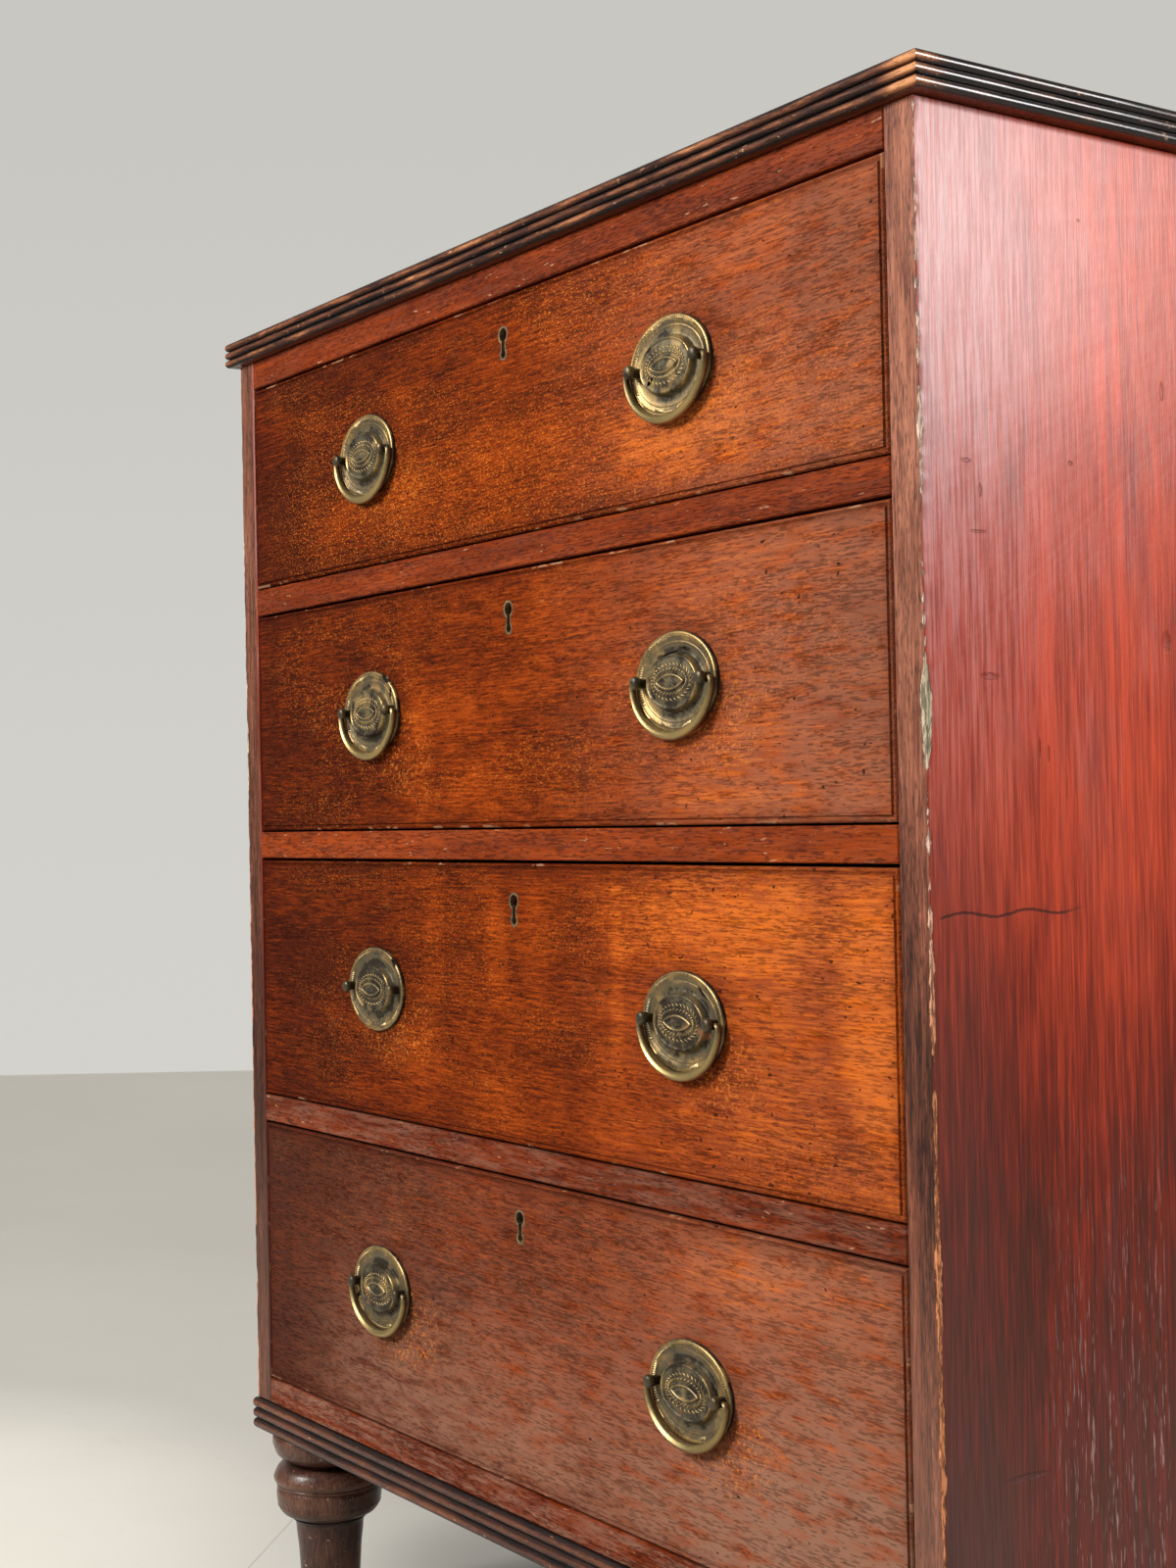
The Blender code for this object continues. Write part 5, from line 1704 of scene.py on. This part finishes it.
class CHEST_OT_nuts(bpy.types.Operator):
    """Screw the square nuts on the plates' bolts inside the drawers"""

    bl_idname = "chest.nuts"
    bl_label = "Nuts"

    def execute(self, context):
        material = brass_finish("brass_nut", context.scene.chest_brass, 0.12, 2.0)
        for number, label, _, middle in handle_places():
            drawer = "drawer_%d" % number
            parts = []
            for side in (-1, 1):
                place = middle + Vector((side * POST_REACH, 0.0, POST_RISE))
                place.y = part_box(drawer + "_front")[1].y
                parts += self.nut(place, 0.3 * number + side * 0.2)
            piece = joined("%s_nuts_%s" % (drawer, label), parts)
            settle(piece, 35.0)
            note_points(piece, "raised", lambda co: 0.4)
            note_points(piece, "soot", lambda co: 0.0)
            dress(piece, material, drawer, "brass_plate")
        return {"FINISHED"}

    def nut(self, place, turn):
        """A square nut with its corners taken off, and the end of the bolt."""
        nut = fresh("nut", bpy.ops.mesh.primitive_cube_add, size=1.0)
        nut.scale = NUT_SIZE
        bpy.ops.object.transform_apply()
        change(nut, "BEVEL", width=0.0008, segments=2)
        spin = Matrix.Rotation(turn, 4, "Y")
        nut.data.transform(Matrix.Translation(place + NUT_MIDDLE) @ spin)
        return [nut, turned("bolt end", BOLT_ROWS, 14, place, FACING_IN)]


class CHEST_OT_stage(bpy.types.Operator):
    """Set up the floor, the wall, the soft light and the camera"""

    bl_idname = "chest.stage"
    bl_label = "Stage"

    def execute(self, context):
        stage = context.scene.chest_stage
        context.scene.view_settings.view_transform = "Standard"
        self.camera(context, stage)
        self.floor(stage)
        self.wall(stage)
        self.sky(context, stage)
        self.lamp("key lamp", (-0.9, -2.8, 2.3), (0.05, -0.2, 0.55), 1.0, stage.key_power)
        self.lamp("sheen lamp", (2.0, 1.15, 1.60), (0.44, -0.1, 0.8), 0.6, stage.sheen_power)
        return {"FINISHED"}

    def camera(self, context, stage):
        level = Vector((-math.sin(stage.turn), math.cos(stage.turn), 0.0))
        ahead = level * math.cos(stage.rise) + Vector((0.0, 0.0, math.sin(stage.rise)))
        right = ahead.cross(Vector((0.0, 0.0, 1.0))).normalized()
        up = right.cross(ahead)
        data = bpy.data.cameras.new("camera")
        data.sensor_width = 36.0
        data.lens = stage.lens
        data.clip_start = 0.01
        lean = Matrix.Rotation(-stage.lean, 3, "Z")
        turn = Matrix((right, up, -ahead)).transposed() @ lean
        item = linked("camera", data)
        item.matrix_world = Matrix.Translation(stage.eye) @ turn.to_4x4()
        context.scene.camera = item

    def floor(self, stage):
        """A pale floor with faint wear and one joint, painted lighter far off and by the chest's
        front left, with a painted shadow under it.
        """
        piece = fresh("floor", bpy.ops.mesh.primitive_plane_add, size=24.0)
        finish = Finish("floor")
        x, y = finish.x, finish.y
        ragged = finish.cloud(3.0, 3.0, 0.5, (2.0, 0.0, 0.0))
        # Painted light: the floor grows lighter far from the camera.
        far = finish.rise(y * math.cos(stage.turn) - x * math.sin(stage.turn), 0.5, 4.5)
        value = finish.level(0.76 + far * 0.36, (finish.cloud(1.3, 5.0, 0.6), 0.14))
        # Painted light beside the chest's front left, then a painted shadow under the chest.
        value = value + finish.patch(x, y, (-0.85, -0.40), (0.75, 0.5), 0.3, ragged) * 0.4
        value = value - finish.patch(x, y, (-0.36, 0.04), (0.26, 0.2), 0.3, ragged) * 0.3
        scuffs = finish.spots(0.64, 0.72, (26.0, 34.0, 1.0), 4.0, 0.6)
        joint = finish.line(x * 0.69 + y * 0.724, -0.517, 0.0014)
        shade = finish.over(
            finish.tint(tuple(stage.floor_colour), value),
            (scuffs * 0.08, (0.30, 0.25, 0.19)),
            (joint * 0.4, (0.24, 0.21, 0.17)),
        )
        piece.data.materials.append(finish.set(Base_Color=shade, Roughness=0.55))

    def wall(self, stage):
        """A plain wall square to the camera's heading, glowing as painted light a little brighter
        towards the floor.
        """
        ahead = Vector((-math.sin(stage.turn), math.cos(stage.turn), 0.0))
        foot = Vector((stage.eye[0], stage.eye[1], 0.0)) + ahead * stage.wall_distance
        piece = fresh(
            "wall", bpy.ops.mesh.primitive_plane_add, size=1.0,
            rotation=(math.pi / 2, 0.0, stage.turn),
        )
        piece.scale = (9.0, 6.0, 1.0)
        piece.location = foot + Vector((0.0, 0.0, 2.99))
        bpy.ops.object.transform_apply()
        finish = Finish("wall")
        # Painted light: the glowing wall is a little brighter towards the floor.
        value = 0.93 + finish.rise(finish.z, 3.2, 0.0) * 0.12
        piece.data.materials.append(finish.set(
            Base_Color=(0.0, 0.0, 0.0), Roughness=1.0, Specular_IOR_Level=0.0,
            Emission_Color=finish.tint(tuple(stage.wall_colour), value), Emission_Strength=1.0,
        ))

    def sky(self, context, stage):
        """An even light that mirrors as a darker room."""
        world = bpy.data.worlds.new("room")
        world.use_nodes = True
        tree = world.node_tree
        ground = tree.nodes["Background"]
        ground.inputs["Color"].default_value = (1.0, 0.985, 0.955, 1.0)
        rays = tree.nodes.new("ShaderNodeLightPath")
        dimmed = tree.nodes.new("ShaderNodeMapRange")
        dimmed.inputs["To Min"].default_value = stage.sky_power
        dimmed.inputs["To Max"].default_value = stage.sky_power * 0.2
        tree.links.new(rays.outputs["Is Glossy Ray"], dimmed.inputs["Value"])
        tree.links.new(dimmed.outputs["Result"], ground.inputs["Strength"])
        context.scene.world = world

    def lamp(self, name, place, target, size, power):
        data = bpy.data.lights.new(name, "AREA")
        data.shape = "SQUARE"
        data.size = size
        data.energy = power
        item = linked(name, data)
        item.location = place
        aim = Vector(target) - Vector(place)
        item.rotation_euler = aim.to_track_quat("-Z", "Y").to_euler()
        item.visible_camera = False


class CHEST_PT_panel(bpy.types.Panel):
    bl_label = "Campaign Chest"
    bl_idname = "CHEST_PT_panel"
    bl_space_type = "VIEW_3D"
    bl_region_type = "UI"
    bl_category = "Chest"

    def draw(self, context):
        for operator in OPERATORS:
            self.layout.operator(operator.bl_idname)
        for group in GROUPS:
            settings = getattr(context.scene, group)
            box = self.layout.box()
            for name in settings.__annotations__:
                box.prop(settings, name)


OPERATORS = (
    CHEST_OT_stage, CHEST_OT_carcase, CHEST_OT_sides, CHEST_OT_top, CHEST_OT_base,
    CHEST_OT_feet, CHEST_OT_drawers, CHEST_OT_plates, CHEST_OT_bails, CHEST_OT_keyholes,
    CHEST_OT_nuts,
)
GROUPS = {"chest_stage": StageSettings, "chest_wood": WoodSettings, "chest_brass": BrassSettings}


def register():
    for name, group in GROUPS.items():
        bpy.utils.register_class(group)
        setattr(bpy.types.Scene, name, PointerProperty(type=group))
    for kind in (*OPERATORS, CHEST_PT_panel):
        bpy.utils.register_class(kind)


def unregister():
    for kind in (CHEST_PT_panel, *reversed(OPERATORS)):
        bpy.utils.unregister_class(kind)
    for name, group in GROUPS.items():
        delattr(bpy.types.Scene, name)
        bpy.utils.unregister_class(group)


def main():
    register()
    bpy.ops.chest.stage()
    bpy.ops.chest.carcase()
    bpy.ops.chest.sides()
    bpy.ops.chest.top()
    bpy.ops.chest.base()
    bpy.ops.chest.feet()
    bpy.ops.chest.drawers()
    bpy.ops.chest.plates()
    bpy.ops.chest.bails()
    bpy.ops.chest.keyholes()
    bpy.ops.chest.nuts()


if __name__ == "__main__":
    main()
